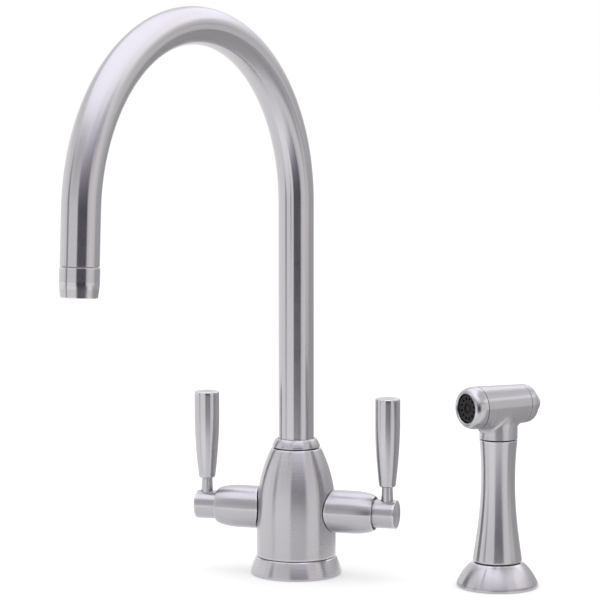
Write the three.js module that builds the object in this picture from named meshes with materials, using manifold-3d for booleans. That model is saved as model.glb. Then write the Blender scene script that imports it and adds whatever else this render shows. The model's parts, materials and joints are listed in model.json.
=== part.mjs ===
// Side spray kitchen faucet. Millimetres, +Z up.
// The origin is the centre of the base flange's underside, on the deck. The arms lie along X, the
// side spray stands at +X, and the user is at -Y.

import * as THREE from 'three';
import { mergeVertices } from 'three/addons/utils/BufferGeometryUtils.js';
import Module from 'manifold-3d';

const wasm = await Module();
wasm.setup();

// ---------------------------------------------------------------- driving dimensions

// Clearances.
const SEAT_GAP = 0.3; // between faces that rest on each other
const RUN_GAP = 0.3; // around what turns or slides
const SEAM = 0.7; // the dark line between two visible pieces

// Sides of round pieces.
const LARGE_SIDES = 24;
const MEDIUM_SIDES = 20;
const SMALL_SIDES = 16;
const PIN_SIDES = 8;
const HOLE_SIDES = 6;
const CURVE_STEPS = 5;

// The deck that both pieces clamp on.
const DECK_THICKNESS = 30;
const GASKET_THICKNESS = 1.7;
const GASKET_SHARE = 0.75; // of the flat ring under a flange
const WASHER_THICKNESS = 3;
const NUT_HEIGHT = 10;
const THREAD_PAST_NUT = 6;

// Base flange.
const FLANGE_HEIGHT = 13;
const FLANGE_SPREAD = 4.25; // how far its foot stands outside the body
const FLANGE_STEP = 0.65; // how far its top edge does
const FLANGE_EDGE = 0.9;
const SPIGOT_HEIGHT = 4;
const SPIGOT_WALL = 2;

// Bell-shaped body.
const BODY_RADIUS = 27.95;
const BODY_TOP = 89.9;
const BODY_SHOULDER = 26; // the side is upright up to here
const BODY_LOWER_PULL = 19;
const BODY_UPPER_PULL = 25;
const BODY_SWELL = 1.85;
const SHELL_WALL = 1.7;

// Valve body inside it.
const BARREL_WALL = 1.3;
const BARREL_TOP_DROP = 1.4;
const BOSS_WALL = 3.2;
const BOSS_BOTTOM = 4;
const BOSS_SOCKET = 12;
const FOOT_THICKNESS = 4;
const CHAMBER_STEP = 1.9; // from the O-ring bore in to the mixing chamber
const CHAMBER_FLOOR = 3;
const PORT_WALL = 3;
const PORT_REACH = 22;
const PORT_BORE = 5;
const TAIL_RADIUS = 8.5;
const TAIL_LENGTH = 5.2;

// Inlet and outlet nipples and the threaded shank around them.
const NIPPLE_RADIUS = 5;
const NIPPLE_BORE = 3;
const NIPPLE_SPACE = 2.5;
const NIPPLE_DROP = 20;
const NIPPLE_THREAD = 8;
const OUTLET_BORE = 1.8;
const SHANK_PLAY = 1.3;
const SHANK_WALL = 3;
const NUT_WALL = 6.2;
const CLAMP_OVERHANG = 10;

// Gooseneck spout.
const TUBE_RADIUS = 12.5;
const TUBE_WALL = 4;
const RISER_TOP = 263.5;
const BEND_RADIUS = 121;
const BEND_SWEEP = THREE.MathUtils.degToRad(177.1);
const BEND_STEPS = 16;
const TIP_LENGTH = 54.6;
const SPOUT_TURN = THREE.MathUtils.degToRad(15.9); // at rest it stands turned towards the hot side

// Spout collar, bearing and shank.
const COLLAR_HEIGHT = 6.3;
const COLLAR_INSET = 0.7;
const COLLAR_WALL = 1.2;
const COLLAR_TAPER = 1.6;
const COLLAR_SHOULDER = 1.8;
const COLLAR_SPIGOT = 8;
const BUSHING_HEIGHT = 6.7;
const SHANK_FLANGE = 3.2;
const SHANK_SLEEVE = 13;
const SHANK_BARREL = 14;
const SPOUT_BARREL_RADIUS = 10.6;
const SPOUT_BORE = 6.5;
const ORING_SECTION = 1.9;
const ORING_SPACING = 6;

// Aerator at the end of the spout.
const AERATOR_LENGTH = 19;
const AERATOR_PROUD = 0.3;
const AERATOR_TAPER = 1;
const AERATOR_TAPER_LENGTH = 8;
const AERATOR_WALL = 2.6;
const AERATOR_SPIGOT = 6;
const AERATOR_SPIGOT_WALL = 1.5;
const AERATOR_EDGE = 0.8;
const AERATOR_RECESS = 1.5;
const AERATOR_INSERT = 9.5;
const AERATOR_HOLE = 1.6;
const AERATOR_HOLES = 6;
const AERATOR_SPREAD = 0.58; // of its radius, where the outer holes are

// Diverter.
const DIVERTER_PLATE = 0.9;
const DIVERTER_SKIRT = 5.5;
const DIVERTER_PLAY = 0.6;
const DIVERTER_WALL = 1.5;
const DIVERTER_TRAVEL = 2;
const SPOOL_DISC = 1.8;
const SPOOL_STEM = 1.7;
const SPRING_WIRE = 0.4;
const SPRING_TURNS = 4;

// Arms, ceramic cartridges and levers.
const ARM_HEIGHT = 45.8;
const ARM_LENGTH = 30.05; // from the bell's side
const ARM_SHOULDER = 2.65;
const ARM_CURVE_LENGTH = 16;
const ARM_LIP = 1.2;
const DISC_THICKNESS = 3;
const CUP_WALL = 1.4;
const CUP_END = 3.3;
const PORT_INNER = 2.4;
const PORT_RIM = 1.6;
const PORT_STEPS = 4;
const TANG_WIDTH = 4.4;
const TANG_HEIGHT = 1.2;
const TANG_SHARE = 0.8; // of the disc's width
const SPINDLE_RADIUS = 4.2;
const SPINDLE_FLANGE = 2.2;
const HUB_RADIUS = 10.03;
const HUB_RECESS = 1.2; // the ring-shaped gap between hub and arm
const HUB_INSET = 6.4;
const HUB_PROUD = 15.8; // past the arm's end
const HUB_EDGE = 0.5;
const HUB_WEB = 0.6;
const SCREW_RADIUS = 2;
const LEVER_OFFSET = 8.8; // from the arm's end to the lever's stem
const STEM_FOOT_RADIUS = 4.2;
const STEM_TOP_RADIUS = 3.8;
const STEM_DEPTH = 7;
const STEM_IN_GRIP = 17;
const GRIP_START = 19.4; // heights above the arms' axis
const GRIP_TOP = 81.7;
const GRIP_FULL = 0.75; // share of its length where the taper is over
const GRIP_FOOT_WALL = 1.8;
const GRIP_RADIUS = 8.9;
const GRIP_EDGE = 0.8;

// Side spray holder.
const HOLDER_X = 145.9;
const HOLDER_RADIUS = 28.4;
const HOLDER_TOP = 16.9;
const HOLDER_LEDGE = 0.9; // its top edge stands this far outside the grip
const HOLDER_EDGE = 0.8;
const HOLDER_THREAD = 8.7;
const BUSH_WALL = 1.5;
const BUSH_LIP = 1.8;
const BUSH_DROP = 14;
const HOLDER_SHANK_WALL = 2.5;
const HOLDER_NUT_WALL = 5;

// Handset: connector, grip.
const CONNECTOR_RADIUS = 5.6;
const CONNECTOR_BORE = 3.5;
const CONNECTOR_COLLAR = 2.4;
const CONNECTOR_COLLAR_HEIGHT = 2.3;
const CONNECTOR_DROP = 24;
const GRIP_NUT_WALL = 4.5;
const GRIP_NUT_DROP = 13;
const GRIP_NUT_THREAD = 8.7;
const SPRAY_FOOT_RADIUS = 16.9;
const SPRAY_WAIST_RADIUS = 11.75;
const SPRAY_WAIST_DROP = 26.4; // below the grip's top
const SPRAY_NECK_RADIUS = 13.2;
const SPRAY_EDGE = 0.6;
const SPRAY_BORE = 8.5;
const WATER_TUBE_RADIUS = 6;
const WATER_TUBE_WALL = 1.5;
const NECK_SPIGOT = 8;
const NECK_SPIGOT_WALL = 1.2;

// Spray head. Lengths run along its own axis from the grip's axis, the nozzle's side positive.
const HEAD_HEIGHT = 125.7;
const HEAD_TURN = THREE.MathUtils.degToRad(39);
const HEAD_FRONT_RADIUS = 14.6;
const HEAD_REAR_RADIUS = 13.45;
const HEAD_FRONT = 19.2;
const HEAD_REAR = 19.1;
const HEAD_BORE = 11.3;
const HEAD_NECK = 22.6; // from its axis down to the neck's end
const FILLET_FRONT = 5;
const FILLET_REAR = 3;
const FILLET_SIDE = 0.5;
const FILLET_HEIGHT = 7;
const FILLET_SINK = 0.02; // of its edge into the head
const NOZZLE_LENGTH = 9.2;
const NOZZLE_STRAIGHT = 1.8;
const NOZZLE_LIP_RADIUS = 10.9;
const NOZZLE_RECESS = 1.6;
const NOZZLE_CORNER = 0.6;
const NOZZLE_SPIGOT = 4;
const NOZZLE_SPIGOT_WALL = 1.4;
const PLATE_RADIUS = 9.7;
const PLATE_THICKNESS = 2.7;
const JETS = 12;
const JET_RADIUS = 0.85;
const JET_CIRCLE = 6.8;
const CORE_RADIUS = 3.4;
const CORE_PIN_RADIUS = 1.9;
const CAP_DEPTH = 7.4;
const CAP_SHOULDER_RADIUS = 8.6;
const CAP_SPIGOT = 3;
const CAP_SPIGOT_WALL = 2;
const BUTTON_RADIUS = 6.6;
const BUTTON_PROUD = 6.6;
const BUTTON_CROWN = 2.6;
const BUTTON_FLANGE = 1.5;
const BUTTON_FLANGE_STEP = 1.8;
const BUTTON_TRAVEL = 2.5;
const HOUSING_FRONT = 14;
const HOUSING_BORE = 4.6;
const HOUSING_INLET = 3.4;
const STEM_GUIDE = 5;
const VALVE_STEM_RADIUS = 1.6;
const VALVE_SPRING_PRESSED = 4.6; // room for the spring with the button pressed
const POPPET_RADIUS = 6;
const POPPET_THICKNESS = 2;

// Pulls of the curved sides, as [radius, height] from a curve's first end and from its last one.
const FLANGE_PULLS = [[-0.4, 3.05], [1, -2.3]];
const ARM_PULLS = [[0, 5.5], [1.8, -3.7]];
const LEVER_PULLS = [[1.3, 11], [0, -19]];
const HOLDER_PULLS = [[-2.15, 5.35], [4.23, -2.86]];
const SPRAY_FOOT_PULLS = [[-1.3, 11.2], [-0.15, -26]];
const SPRAY_NECK_PULLS = [[0, 9], [-0.95, -8.1]];
const CAP_PULLS = [[0, -4.5], [4, 0]];

// ---------------------------------------------------------------- sizes that follow from them

const collarBore = TUBE_RADIUS + RUN_GAP;
const collarSpigotRadius = collarBore + COLLAR_WALL;
const socketRadius = collarSpigotRadius + SEAT_GAP;
const barrelRadius = socketRadius + BARREL_WALL;
const shellTopRadius = barrelRadius + SEAT_GAP + SHELL_WALL;
const shellBore = BODY_RADIUS - SHELL_WALL;
const flangeRadius = BODY_RADIUS + FLANGE_SPREAD;

const nippleCircle = (NIPPLE_RADIUS + NIPPLE_SPACE / 2) / Math.sin(Math.PI / 3);
const shankBore = nippleCircle + NIPPLE_RADIUS + SHANK_PLAY;
const shankRadius = shankBore + SHANK_WALL;
const bossSocketTop = BOSS_BOTTOM + BOSS_SOCKET;
const nippleHoleTop = bossSocketTop + NIPPLE_THREAD;
const chamberFloor = nippleHoleTop + CHAMBER_FLOOR;

const bodyBottom = FLANGE_HEIGHT + SEAT_GAP;
const spigotRadius = shellBore - SEAT_GAP;
const footBottom = FLANGE_HEIGHT + SPIGOT_HEIGHT + SEAT_GAP;

const collarBottom = BODY_TOP + SEAM;
const collarTop = collarBottom + COLLAR_HEIGHT;
const collarSpigotBottom = BODY_TOP - COLLAR_SPIGOT;
const bushingTop = collarSpigotBottom - SEAT_GAP;
const bushingBottom = bushingTop - BUSHING_HEIGHT;
const tubeBottom = bushingBottom;
const shankFlangeTop = tubeBottom - SEAT_GAP;
const shankFlangeBottom = shankFlangeTop - SHANK_FLANGE;
const socketFloor = shankFlangeBottom - SEAT_GAP;
const spoutShankBottom = shankFlangeBottom - SHANK_BARREL;
const oringBore = SPOUT_BARREL_RADIUS + RUN_GAP;
const ledge = spoutShankBottom - DIVERTER_PLATE - 2 * SEAT_GAP;
const chamberRadius = oringBore - CHAMBER_STEP;
const tubeBore = TUBE_RADIUS - TUBE_WALL;

const armMouth = HUB_RADIUS + HUB_RECESS;
const armLipRadius = armMouth + ARM_LIP;
const armRadius = armLipRadius + ARM_SHOULDER;
const armEnd = BODY_RADIUS + ARM_LENGTH;
const tailStart = PORT_REACH - TAIL_LENGTH;
const cupRadius = armMouth - SEAT_GAP;
const cupBore = cupRadius - CUP_WALL;
const discRadius = cupBore - RUN_GAP;
const hubStart = armEnd - HUB_INSET;
const cupEnd = hubStart - SEAT_GAP;
const cupEndStart = cupEnd - CUP_END;
const spindleStart = cupEndStart - SEAT_GAP - SPINDLE_FLANGE;
const movingDiscStart = spindleStart - SEAT_GAP - DISC_THICKNESS;
const fixedDiscStart = movingDiscStart - SEAT_GAP - DISC_THICKNESS;
const cavityFloor = fixedDiscStart - SEAT_GAP;
const spindleBore = SPINDLE_RADIUS + RUN_GAP;
const leverReach = armEnd + LEVER_OFFSET;
const hubEnd = armEnd + HUB_PROUD;
const hubSocketEnd = leverReach - STEM_FOOT_RADIUS - SEAT_GAP - HUB_WEB;
const screwPlace = (armEnd + leverReach - STEM_FOOT_RADIUS) / 2;

const connectorCollarRadius = CONNECTOR_RADIUS + CONNECTOR_COLLAR;
const gripNutBore = CONNECTOR_RADIUS + RUN_GAP;
const gripNutRadius = gripNutBore + GRIP_NUT_WALL;
const gripThreadRadius = gripNutRadius - 2 * SEAT_GAP;
const bushBore = gripNutRadius + RUN_GAP;
const bushRadius = bushBore + BUSH_WALL;
const holderShankBore = bushRadius + SEAT_GAP;
const holderShankRadius = holderShankBore + HOLDER_SHANK_WALL;
const holderRim = HOLDER_RADIUS - HOLDER_EDGE;
const holderGasketInner = holderShankRadius + 2 * HOLDER_EDGE;
const bushLipRadius = bushRadius + BUSH_LIP;
const holderLipRadius = SPRAY_FOOT_RADIUS + HOLDER_LEDGE;
const sprayBottom = HOLDER_TOP + SEAT_GAP;
const gripNutTop = sprayBottom + GRIP_NUT_THREAD;
const connectorCollarTop = gripNutTop + SEAT_GAP + CONNECTOR_COLLAR_HEIGHT;
const sprayBoreStart = connectorCollarTop + SEAT_GAP;
const sprayNeck = HEAD_HEIGHT - HEAD_NECK - SEAM;
const neckSpigotRadius = SPRAY_BORE - SEAT_GAP;
const neckBore = neckSpigotRadius - NECK_SPIGOT_WALL;
const housingRadius = HEAD_BORE - SEAT_GAP;
const waterTubeTop = HEAD_HEIGHT - housingRadius - SEAT_GAP;

const nozzleStart = HEAD_FRONT + SEAT_GAP;
const nozzleEnd = nozzleStart + NOZZLE_LENGTH;
const plateFront = nozzleEnd - NOZZLE_RECESS;
const plateBack = plateFront - PLATE_THICKNESS;
const headSpigotRadius = HEAD_BORE - SEAT_GAP;
const capStart = HEAD_REAR + SEAT_GAP;
const capEnd = capStart + CAP_DEPTH;
const buttonBore = BUTTON_RADIUS + RUN_GAP;
const buttonFlangeRadius = BUTTON_RADIUS + BUTTON_FLANGE_STEP;
const capRecessEnd = capStart + BUTTON_FLANGE;
const buttonFlangeEnd = capRecessEnd - SEAT_GAP;
const buttonFlangeStart = buttonFlangeEnd - BUTTON_FLANGE;
const housingRear = buttonFlangeStart - BUTTON_TRAVEL - VALVE_SPRING_PRESSED;

// ---------------------------------------------------------------- solids

// A closed geometry as a solid that can be joined and cut.
function solid(geometry) {
  const bare = geometry.clone();
  bare.deleteAttribute('normal');
  bare.deleteAttribute('uv');
  const merged = mergeVertices(bare, 1e-4);
  return new wasm.Manifold(new wasm.Mesh({
    numProp: 3,
    vertProperties: merged.attributes.position.array,
    triVerts: new Uint32Array(merged.index.array),
  }));
}

// A joined or cut solid back as a geometry.
function geometryOf(body) {
  const mesh = body.getMesh();
  const positions = new Float32Array(mesh.numVert * 3);
  for (let i = 0; i < mesh.numVert; i++) {
    const start = i * mesh.numProp;
    positions.set(mesh.vertProperties.subarray(start, start + 3), i * 3);
  }
  const geometry = new THREE.BufferGeometry();
  geometry.setAttribute('position', new THREE.BufferAttribute(positions, 3));
  geometry.setIndex(new THREE.BufferAttribute(mesh.triVerts, 1));
  geometry.computeVertexNormals();
  return geometry;
}

function join(...geometries) {
  const bodies = geometries.map(solid);
  return geometryOf(bodies.reduce((whole, body) => whole.add(body)));
}

function cut(geometry, ...tools) {
  const bodies = tools.map(solid);
  return geometryOf(bodies.reduce((whole, body) => whole.subtract(body), solid(geometry)));
}

// A profile of [radius, height] points turned about Z. It starts and ends on the axis, or is closed.
function turned(profile, sides) {
  const points = profile.map(([radius, height]) => new THREE.Vector2(radius, height));
  const onAxis = points[0].x === 0 && points.at(-1).x === 0;
  if (!onAxis) points.push(points[0].clone());
  if (THREE.ShapeUtils.area(points) < 0) points.reverse();
  return new THREE.LatheGeometry(points, sides).rotateX(Math.PI / 2);
}

function rod(radius, from, to, sides = SMALL_SIDES) {
  return turned([[0, from], [radius, from], [radius, to], [0, to]], sides);
}

function ring(outer, inner, from, to, sides = SMALL_SIDES) {
  return turned([[inner, from], [outer, from], [outer, to], [inner, to]], sides);
}

// Points of a curve between two profile points, as [radius, height] pairs.
function curve(from, pullFrom, pullTo, to, steps = CURVE_STEPS) {
  const [a, b, c, d] = [from, pullFrom, pullTo, to].map(([x, y]) => new THREE.Vector2(x, y));
  return new THREE.CubicBezierCurve(a, b, c, d).getPoints(steps).map((p) => [p.x, p.y]);
}

// The same with its pulls given from its two ends.
function pulled(from, to, [pullFrom, pullTo], steps) {
  const offset = (point, pull) => [point[0] + pull[0], point[1] + pull[1]];
  return curve(from, offset(from, pullFrom), offset(to, pullTo), to, steps);
}

// A rounded edge from one profile point to another, with the sharp corner between them.
function rounded(from, corner, to, steps = 2) {
  const [a, b, c] = [from, corner, to].map(([x, y]) => new THREE.Vector2(x, y));
  return new THREE.QuadraticBezierCurve(a, b, c).getPoints(steps).map((p) => [p.x, p.y]);
}

function circlePoints(radius, sides, x = 0, y = 0) {
  return Array.from({ length: sides }, (_, i) => {
    const angle = (2 * Math.PI * i) / sides;
    return new THREE.Vector2(x + radius * Math.cos(angle), y + radius * Math.sin(angle));
  });
}

// A round plate between two heights with holes, each given as a list of points.
function drilledPlate(radius, sides, from, to, holes) {
  const shape = new THREE.Shape(circlePoints(radius, sides));
  shape.holes = holes.map((points) => new THREE.Path(points));
  const plate = new THREE.ExtrudeGeometry(shape, { depth: to - from, bevelEnabled: false });
  return plate.translate(0, 0, from);
}

function holeCircle(count, circle, radius, sides) {
  return Array.from({ length: count }, (_, i) => {
    const angle = (2 * Math.PI * i) / count + Math.PI / 2;
    return circlePoints(radius, sides, circle * Math.cos(angle), circle * Math.sin(angle));
  });
}

function hexNut(apothem, bore, from, to) {
  const corner = apothem / Math.cos(Math.PI / 6);
  const shape = new THREE.Shape(circlePoints(corner, 6));
  shape.holes = [new THREE.Path(circlePoints(bore, MEDIUM_SIDES))];
  const nut = new THREE.ExtrudeGeometry(shape, { depth: to - from, bevelEnabled: false });
  return nut.translate(0, 0, from);
}

class Helix extends THREE.Curve {
  constructor(radius, from, to, turns) {
    super();
    Object.assign(this, { radius, from, to, turns });
  }

  getPoint(t, target = new THREE.Vector3()) {
    const angle = 2 * Math.PI * this.turns * t;
    const height = THREE.MathUtils.lerp(this.from, this.to, t);
    return target.set(this.radius * Math.cos(angle), this.radius * Math.sin(angle), height);
  }
}

function coilSpring(radius, from, to) {
  const wire = new THREE.Shape(circlePoints(SPRING_WIRE, 4));
  const path = new Helix(radius, from + SPRING_WIRE, to - SPRING_WIRE, SPRING_TURNS);
  const options = { steps: SPRING_TURNS * 8, extrudePath: path, bevelEnabled: false };
  return new THREE.ExtrudeGeometry(wire, options);
}

// ---------------------------------------------------------------- finishes

function finish(color, roughness, metalness) {
  return () => new THREE.MeshStandardMaterial({ color, roughness, metalness });
}

const steel = finish(0xb9b7bb, 0.32, 1);
const plainSteel = finish(0x9c9b9d, 0.45, 1);
const brass = finish(0xb08d4f, 0.4, 1);
const rubber = finish(0x1c1c1e, 0.9, 0);
const plastic = finish(0xd8d8d4, 0.5, 0);
const blackPlastic = finish(0x17171b, 0.45, 0);
const ceramic = finish(0xf2f0ea, 0.25, 0);

function piece(name, geometry, material) {
  const mesh = new THREE.Mesh(geometry, material());
  mesh.name = name;
  return mesh;
}

function groupOf(...children) {
  const group = new THREE.Group();
  group.add(...children);
  return group;
}

// ---------------------------------------------------------------- body on the deck

// Side of the bell, from its foot to its top edge, grown outwards by a thickness.
function bellSide(grow, steps) {
  const foot = [BODY_RADIUS + grow, bodyBottom];
  const shoulder = [BODY_RADIUS + grow, BODY_SHOULDER];
  const lowerPull = [BODY_RADIUS + grow, BODY_SHOULDER + BODY_LOWER_PULL];
  const upperPull = [BODY_RADIUS + BODY_SWELL + grow, BODY_TOP - BODY_UPPER_PULL];
  const top = [shellTopRadius + grow, BODY_TOP];
  return [foot, ...curve(shoulder, lowerPull, upperPull, top, steps)];
}

// The arms' axis: local Z runs outwards along the arm, local X points down.
function alongArm(geometry) {
  return geometry.rotateY(Math.PI / 2).translate(0, 0, ARM_HEIGHT);
}

// The underside of a flange between two radii carries a recess with a rubber gasket in it.
function gasketOuter(inner, rim) {
  return THREE.MathUtils.lerp(inner, rim, GASKET_SHARE);
}

function gasketRecess(inner, rim) {
  const recess = GASKET_THICKNESS + SEAT_GAP;
  const outer = gasketOuter(inner, rim) + SEAT_GAP;
  return [[inner - SEAT_GAP, 0], [inner - SEAT_GAP, recess], [outer, recess], [outer, 0]];
}

function gasket(inner, rim) {
  return ring(gasketOuter(inner, rim), inner, 0, GASKET_THICKNESS, LARGE_SIDES);
}

function baseFlange() {
  const top = BODY_RADIUS + FLANGE_STEP;
  const rim = flangeRadius - FLANGE_EDGE;
  return turned([
    [spigotRadius - SPIGOT_WALL, 0],
    ...gasketRecess(spigotRadius, rim),
    ...rounded([rim, 0], [flangeRadius, 0], [flangeRadius, FLANGE_EDGE]),
    ...pulled([flangeRadius, 2 * FLANGE_EDGE], [top, FLANGE_HEIGHT - SEAT_GAP], FLANGE_PULLS, 4),
    [top - SEAM, FLANGE_HEIGHT],
    [spigotRadius, FLANGE_HEIGHT],
    [spigotRadius, FLANGE_HEIGHT + SPIGOT_HEIGHT],
    [spigotRadius - SPIGOT_WALL, FLANGE_HEIGHT + SPIGOT_HEIGHT],
  ], LARGE_SIDES);
}

function bodyShell() {
  const inside = bellSide(-SHELL_WALL, 3).reverse();
  const shell = turned([...bellSide(0, 6), ...inside], LARGE_SIDES);
  const reach = BODY_RADIUS + BODY_SWELL;
  const armHoles = alongArm(rod(TAIL_RADIUS + SEAT_GAP, -reach, reach));
  return cut(shell, armHoles);
}

function nipplePlace(index) {
  const angle = (2 * Math.PI * index) / 3 + Math.PI / 6;
  return [nippleCircle * Math.cos(angle), nippleCircle * Math.sin(angle)];
}

function nipple(index) {
  const [x, y] = nipplePlace(index);
  const tube = ring(NIPPLE_RADIUS, NIPPLE_BORE, -NIPPLE_DROP, nippleHoleTop - SEAT_GAP);
  return tube.translate(x, y, 0);
}

function valveBody() {
  const barrelTop = BODY_TOP - BARREL_TOP_DROP;
  const flangeBore = spigotRadius - SPIGOT_WALL;
  const bossRadius = Math.min(shankRadius + SEAT_GAP + BOSS_WALL, flangeBore - SEAT_GAP);
  const body = turned([
    [0, bossSocketTop],
    [shankRadius + SEAT_GAP, bossSocketTop],
    [shankRadius + SEAT_GAP, BOSS_BOTTOM],
    [bossRadius, BOSS_BOTTOM],
    [bossRadius, footBottom],
    [spigotRadius, footBottom],
    [spigotRadius, footBottom + FOOT_THICKNESS],
    [barrelRadius, footBottom + FOOT_THICKNESS],
    [barrelRadius, barrelTop],
    [socketRadius, barrelTop],
    [socketRadius, socketFloor],
    [oringBore, socketFloor],
    [oringBore, ledge],
    [chamberRadius, ledge],
    [chamberRadius, chamberFloor],
    [0, chamberFloor],
  ], MEDIUM_SIDES);
  const socket = TAIL_RADIUS + SEAT_GAP;
  const portRoot = rod((oringBore + barrelRadius) / 2, chamberFloor + PORT_WALL, socketFloor);
  const ports = cut(alongArm(rod(socket + PORT_WALL, -PORT_REACH, PORT_REACH)), portRoot);
  const waterway = alongArm(rod(PORT_BORE, -PORT_REACH, PORT_REACH));
  const sockets = [-1, 1].map((side) => {
    const ends = [tailStart - SEAT_GAP, PORT_REACH + 1].map((end) => side * end);
    return alongArm(rod(socket, Math.min(...ends), Math.max(...ends)));
  });
  const nippleHoles = [0, 1, 2].map((index) => {
    const [x, y] = nipplePlace(index);
    return rod(NIPPLE_RADIUS + SEAT_GAP, bossSocketTop - 1, nippleHoleTop).translate(x, y, 0);
  });
  const [outletX, outletY] = nipplePlace(2);
  const outlet = rod(OUTLET_BORE, nippleHoleTop - 1, chamberFloor + 1, PIN_SIDES);
  outlet.translate(outletX, outletY, 0);
  return cut(join(body, ports), waterway, ...sockets, ...nippleHoles, outlet);
}

// Heights below the deck of what clamps a threaded shank.
function clampStack() {
  const rubberTop = -DECK_THICKNESS;
  const steelTop = rubberTop - WASHER_THICKNESS - SEAT_GAP;
  const nutTop = steelTop - WASHER_THICKNESS - SEAT_GAP;
  const shankBottom = nutTop - NUT_HEIGHT - THREAD_PAST_NUT;
  return { rubberTop, steelTop, nutTop, shankBottom };
}

function deckPieces() {
  const { rubberTop, steelTop, nutTop, shankBottom } = clampStack();
  const hole = shankRadius + SEAT_GAP;
  const rim = shankRadius + CLAMP_OVERHANG;
  const washer = (top) => ring(rim, hole, top - WASHER_THICKNESS, top, MEDIUM_SIDES);
  const shankTop = bossSocketTop - SEAT_GAP;
  return [
    piece('base_flange', baseFlange(), steel),
    piece('deck_gasket', gasket(spigotRadius, flangeRadius - FLANGE_EDGE), rubber),
    piece('body_shell', bodyShell(), steel),
    piece('valve_body', valveBody(), brass),
    piece('threaded_shank', ring(shankRadius, shankBore, shankBottom, shankTop, MEDIUM_SIDES), brass),
    piece('clamp_rubber_washer', washer(rubberTop), rubber),
    piece('clamp_steel_washer', washer(steelTop), plainSteel),
    piece('lock_nut', hexNut(hole + NUT_WALL, hole, nutTop - NUT_HEIGHT, nutTop), brass),
    piece('cold_inlet_nipple', nipple(0), brass),
    piece('hot_inlet_nipple', nipple(1), brass),
    piece('spray_outlet_nipple', nipple(2), brass),
  ];
}

// ---------------------------------------------------------------- spout

// Riser, half-round bend and tip in one plane, towards -Y. One step of the sweep is the riser, the
// last one is the tip, and those between them share the bend.
class SpoutCurve extends THREE.Curve {
  constructor(tipLength) {
    super();
    this.tipLength = tipLength;
  }

  place(t) {
    const step = t * (BEND_STEPS + 2);
    const bent = THREE.MathUtils.clamp((step - 1) / BEND_STEPS, 0, 1) * BEND_SWEEP;
    const rise = Math.min(step, 1);
    const tip = Math.max(step - 1 - BEND_STEPS, 0) * this.tipLength;
    return { bent, rise, tip };
  }

  getPoint(t, target = new THREE.Vector3()) {
    const { bent, rise, tip } = this.place(t);
    const reach = BEND_RADIUS * (1 - Math.cos(bent)) + tip * Math.sin(bent);
    const height = BEND_RADIUS * Math.sin(bent) + tip * Math.cos(bent);
    const base = THREE.MathUtils.lerp(tubeBottom, RISER_TOP, rise);
    return target.set(0, -reach, base + height);
  }

  getPointAt(u, target) {
    return this.getPoint(u, target);
  }

  getTangentAt(u, target = new THREE.Vector3()) {
    const { bent } = this.place(u);
    return target.set(0, -Math.sin(bent), Math.cos(bent));
  }
}

function spoutTube() {
  const section = new THREE.Shape(circlePoints(TUBE_RADIUS, MEDIUM_SIDES));
  section.holes = [new THREE.Path(circlePoints(tubeBore, MEDIUM_SIDES))];
  const path = new SpoutCurve(TIP_LENGTH - AERATOR_LENGTH - SEAT_GAP);
  const options = { steps: BEND_STEPS + 2, extrudePath: path, bevelEnabled: false };
  return new THREE.ExtrudeGeometry(section, options);
}

function spoutCollar() {
  const widest = shellTopRadius - COLLAR_INSET;
  const shoulder = [widest - COLLAR_TAPER, collarTop - COLLAR_SHOULDER];
  return turned([
    [collarBore, collarSpigotBottom],
    [collarSpigotRadius, collarSpigotBottom],
    [collarSpigotRadius, collarBottom],
    [widest - SEAT_GAP, collarBottom],
    ...rounded([widest, collarBottom + SEAT_GAP],
      [widest - COLLAR_TAPER / 2, shoulder[1] - COLLAR_SHOULDER], shoulder),
    ...rounded(shoulder, [shoulder[0] - SEAT_GAP, collarTop - SEAT_GAP],
      [collarBore + 2 * SEAT_GAP, collarTop]).slice(1),
    [collarBore, collarTop],
  ], LARGE_SIDES);
}

function oringHeights() {
  const middle = (spoutShankBottom + shankFlangeBottom) / 2;
  return [middle - ORING_SPACING / 2, middle + ORING_SPACING / 2];
}

function spoutShank() {
  const grooveFloor = SPOUT_BARREL_RADIUS - ORING_SECTION;
  const halfGroove = ORING_SECTION / 2 + SEAT_GAP;
  const grooves = oringHeights().flatMap((height) => [
    [SPOUT_BARREL_RADIUS, height - halfGroove],
    [grooveFloor, height - halfGroove],
    [grooveFloor, height + halfGroove],
    [SPOUT_BARREL_RADIUS, height + halfGroove],
  ]);
  const sleeveRadius = tubeBore - SEAT_GAP;
  return turned([
    [SPOUT_BORE, spoutShankBottom],
    [SPOUT_BARREL_RADIUS, spoutShankBottom],
    ...grooves,
    [SPOUT_BARREL_RADIUS, shankFlangeBottom],
    [socketRadius - RUN_GAP, shankFlangeBottom],
    [socketRadius - RUN_GAP, shankFlangeTop],
    [sleeveRadius, shankFlangeTop],
    [sleeveRadius, shankFlangeTop + SHANK_SLEEVE],
    [SPOUT_BORE, shankFlangeTop + SHANK_SLEEVE],
  ], SMALL_SIDES);
}

function oring(height) {
  const radius = SPOUT_BARREL_RADIUS - ORING_SECTION / 2 + RUN_GAP / 2;
  const section = (ORING_SECTION - RUN_GAP / 2) / 2;
  return new THREE.TorusGeometry(radius, section, 6, SMALL_SIDES).translate(0, 0, height);
}

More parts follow.
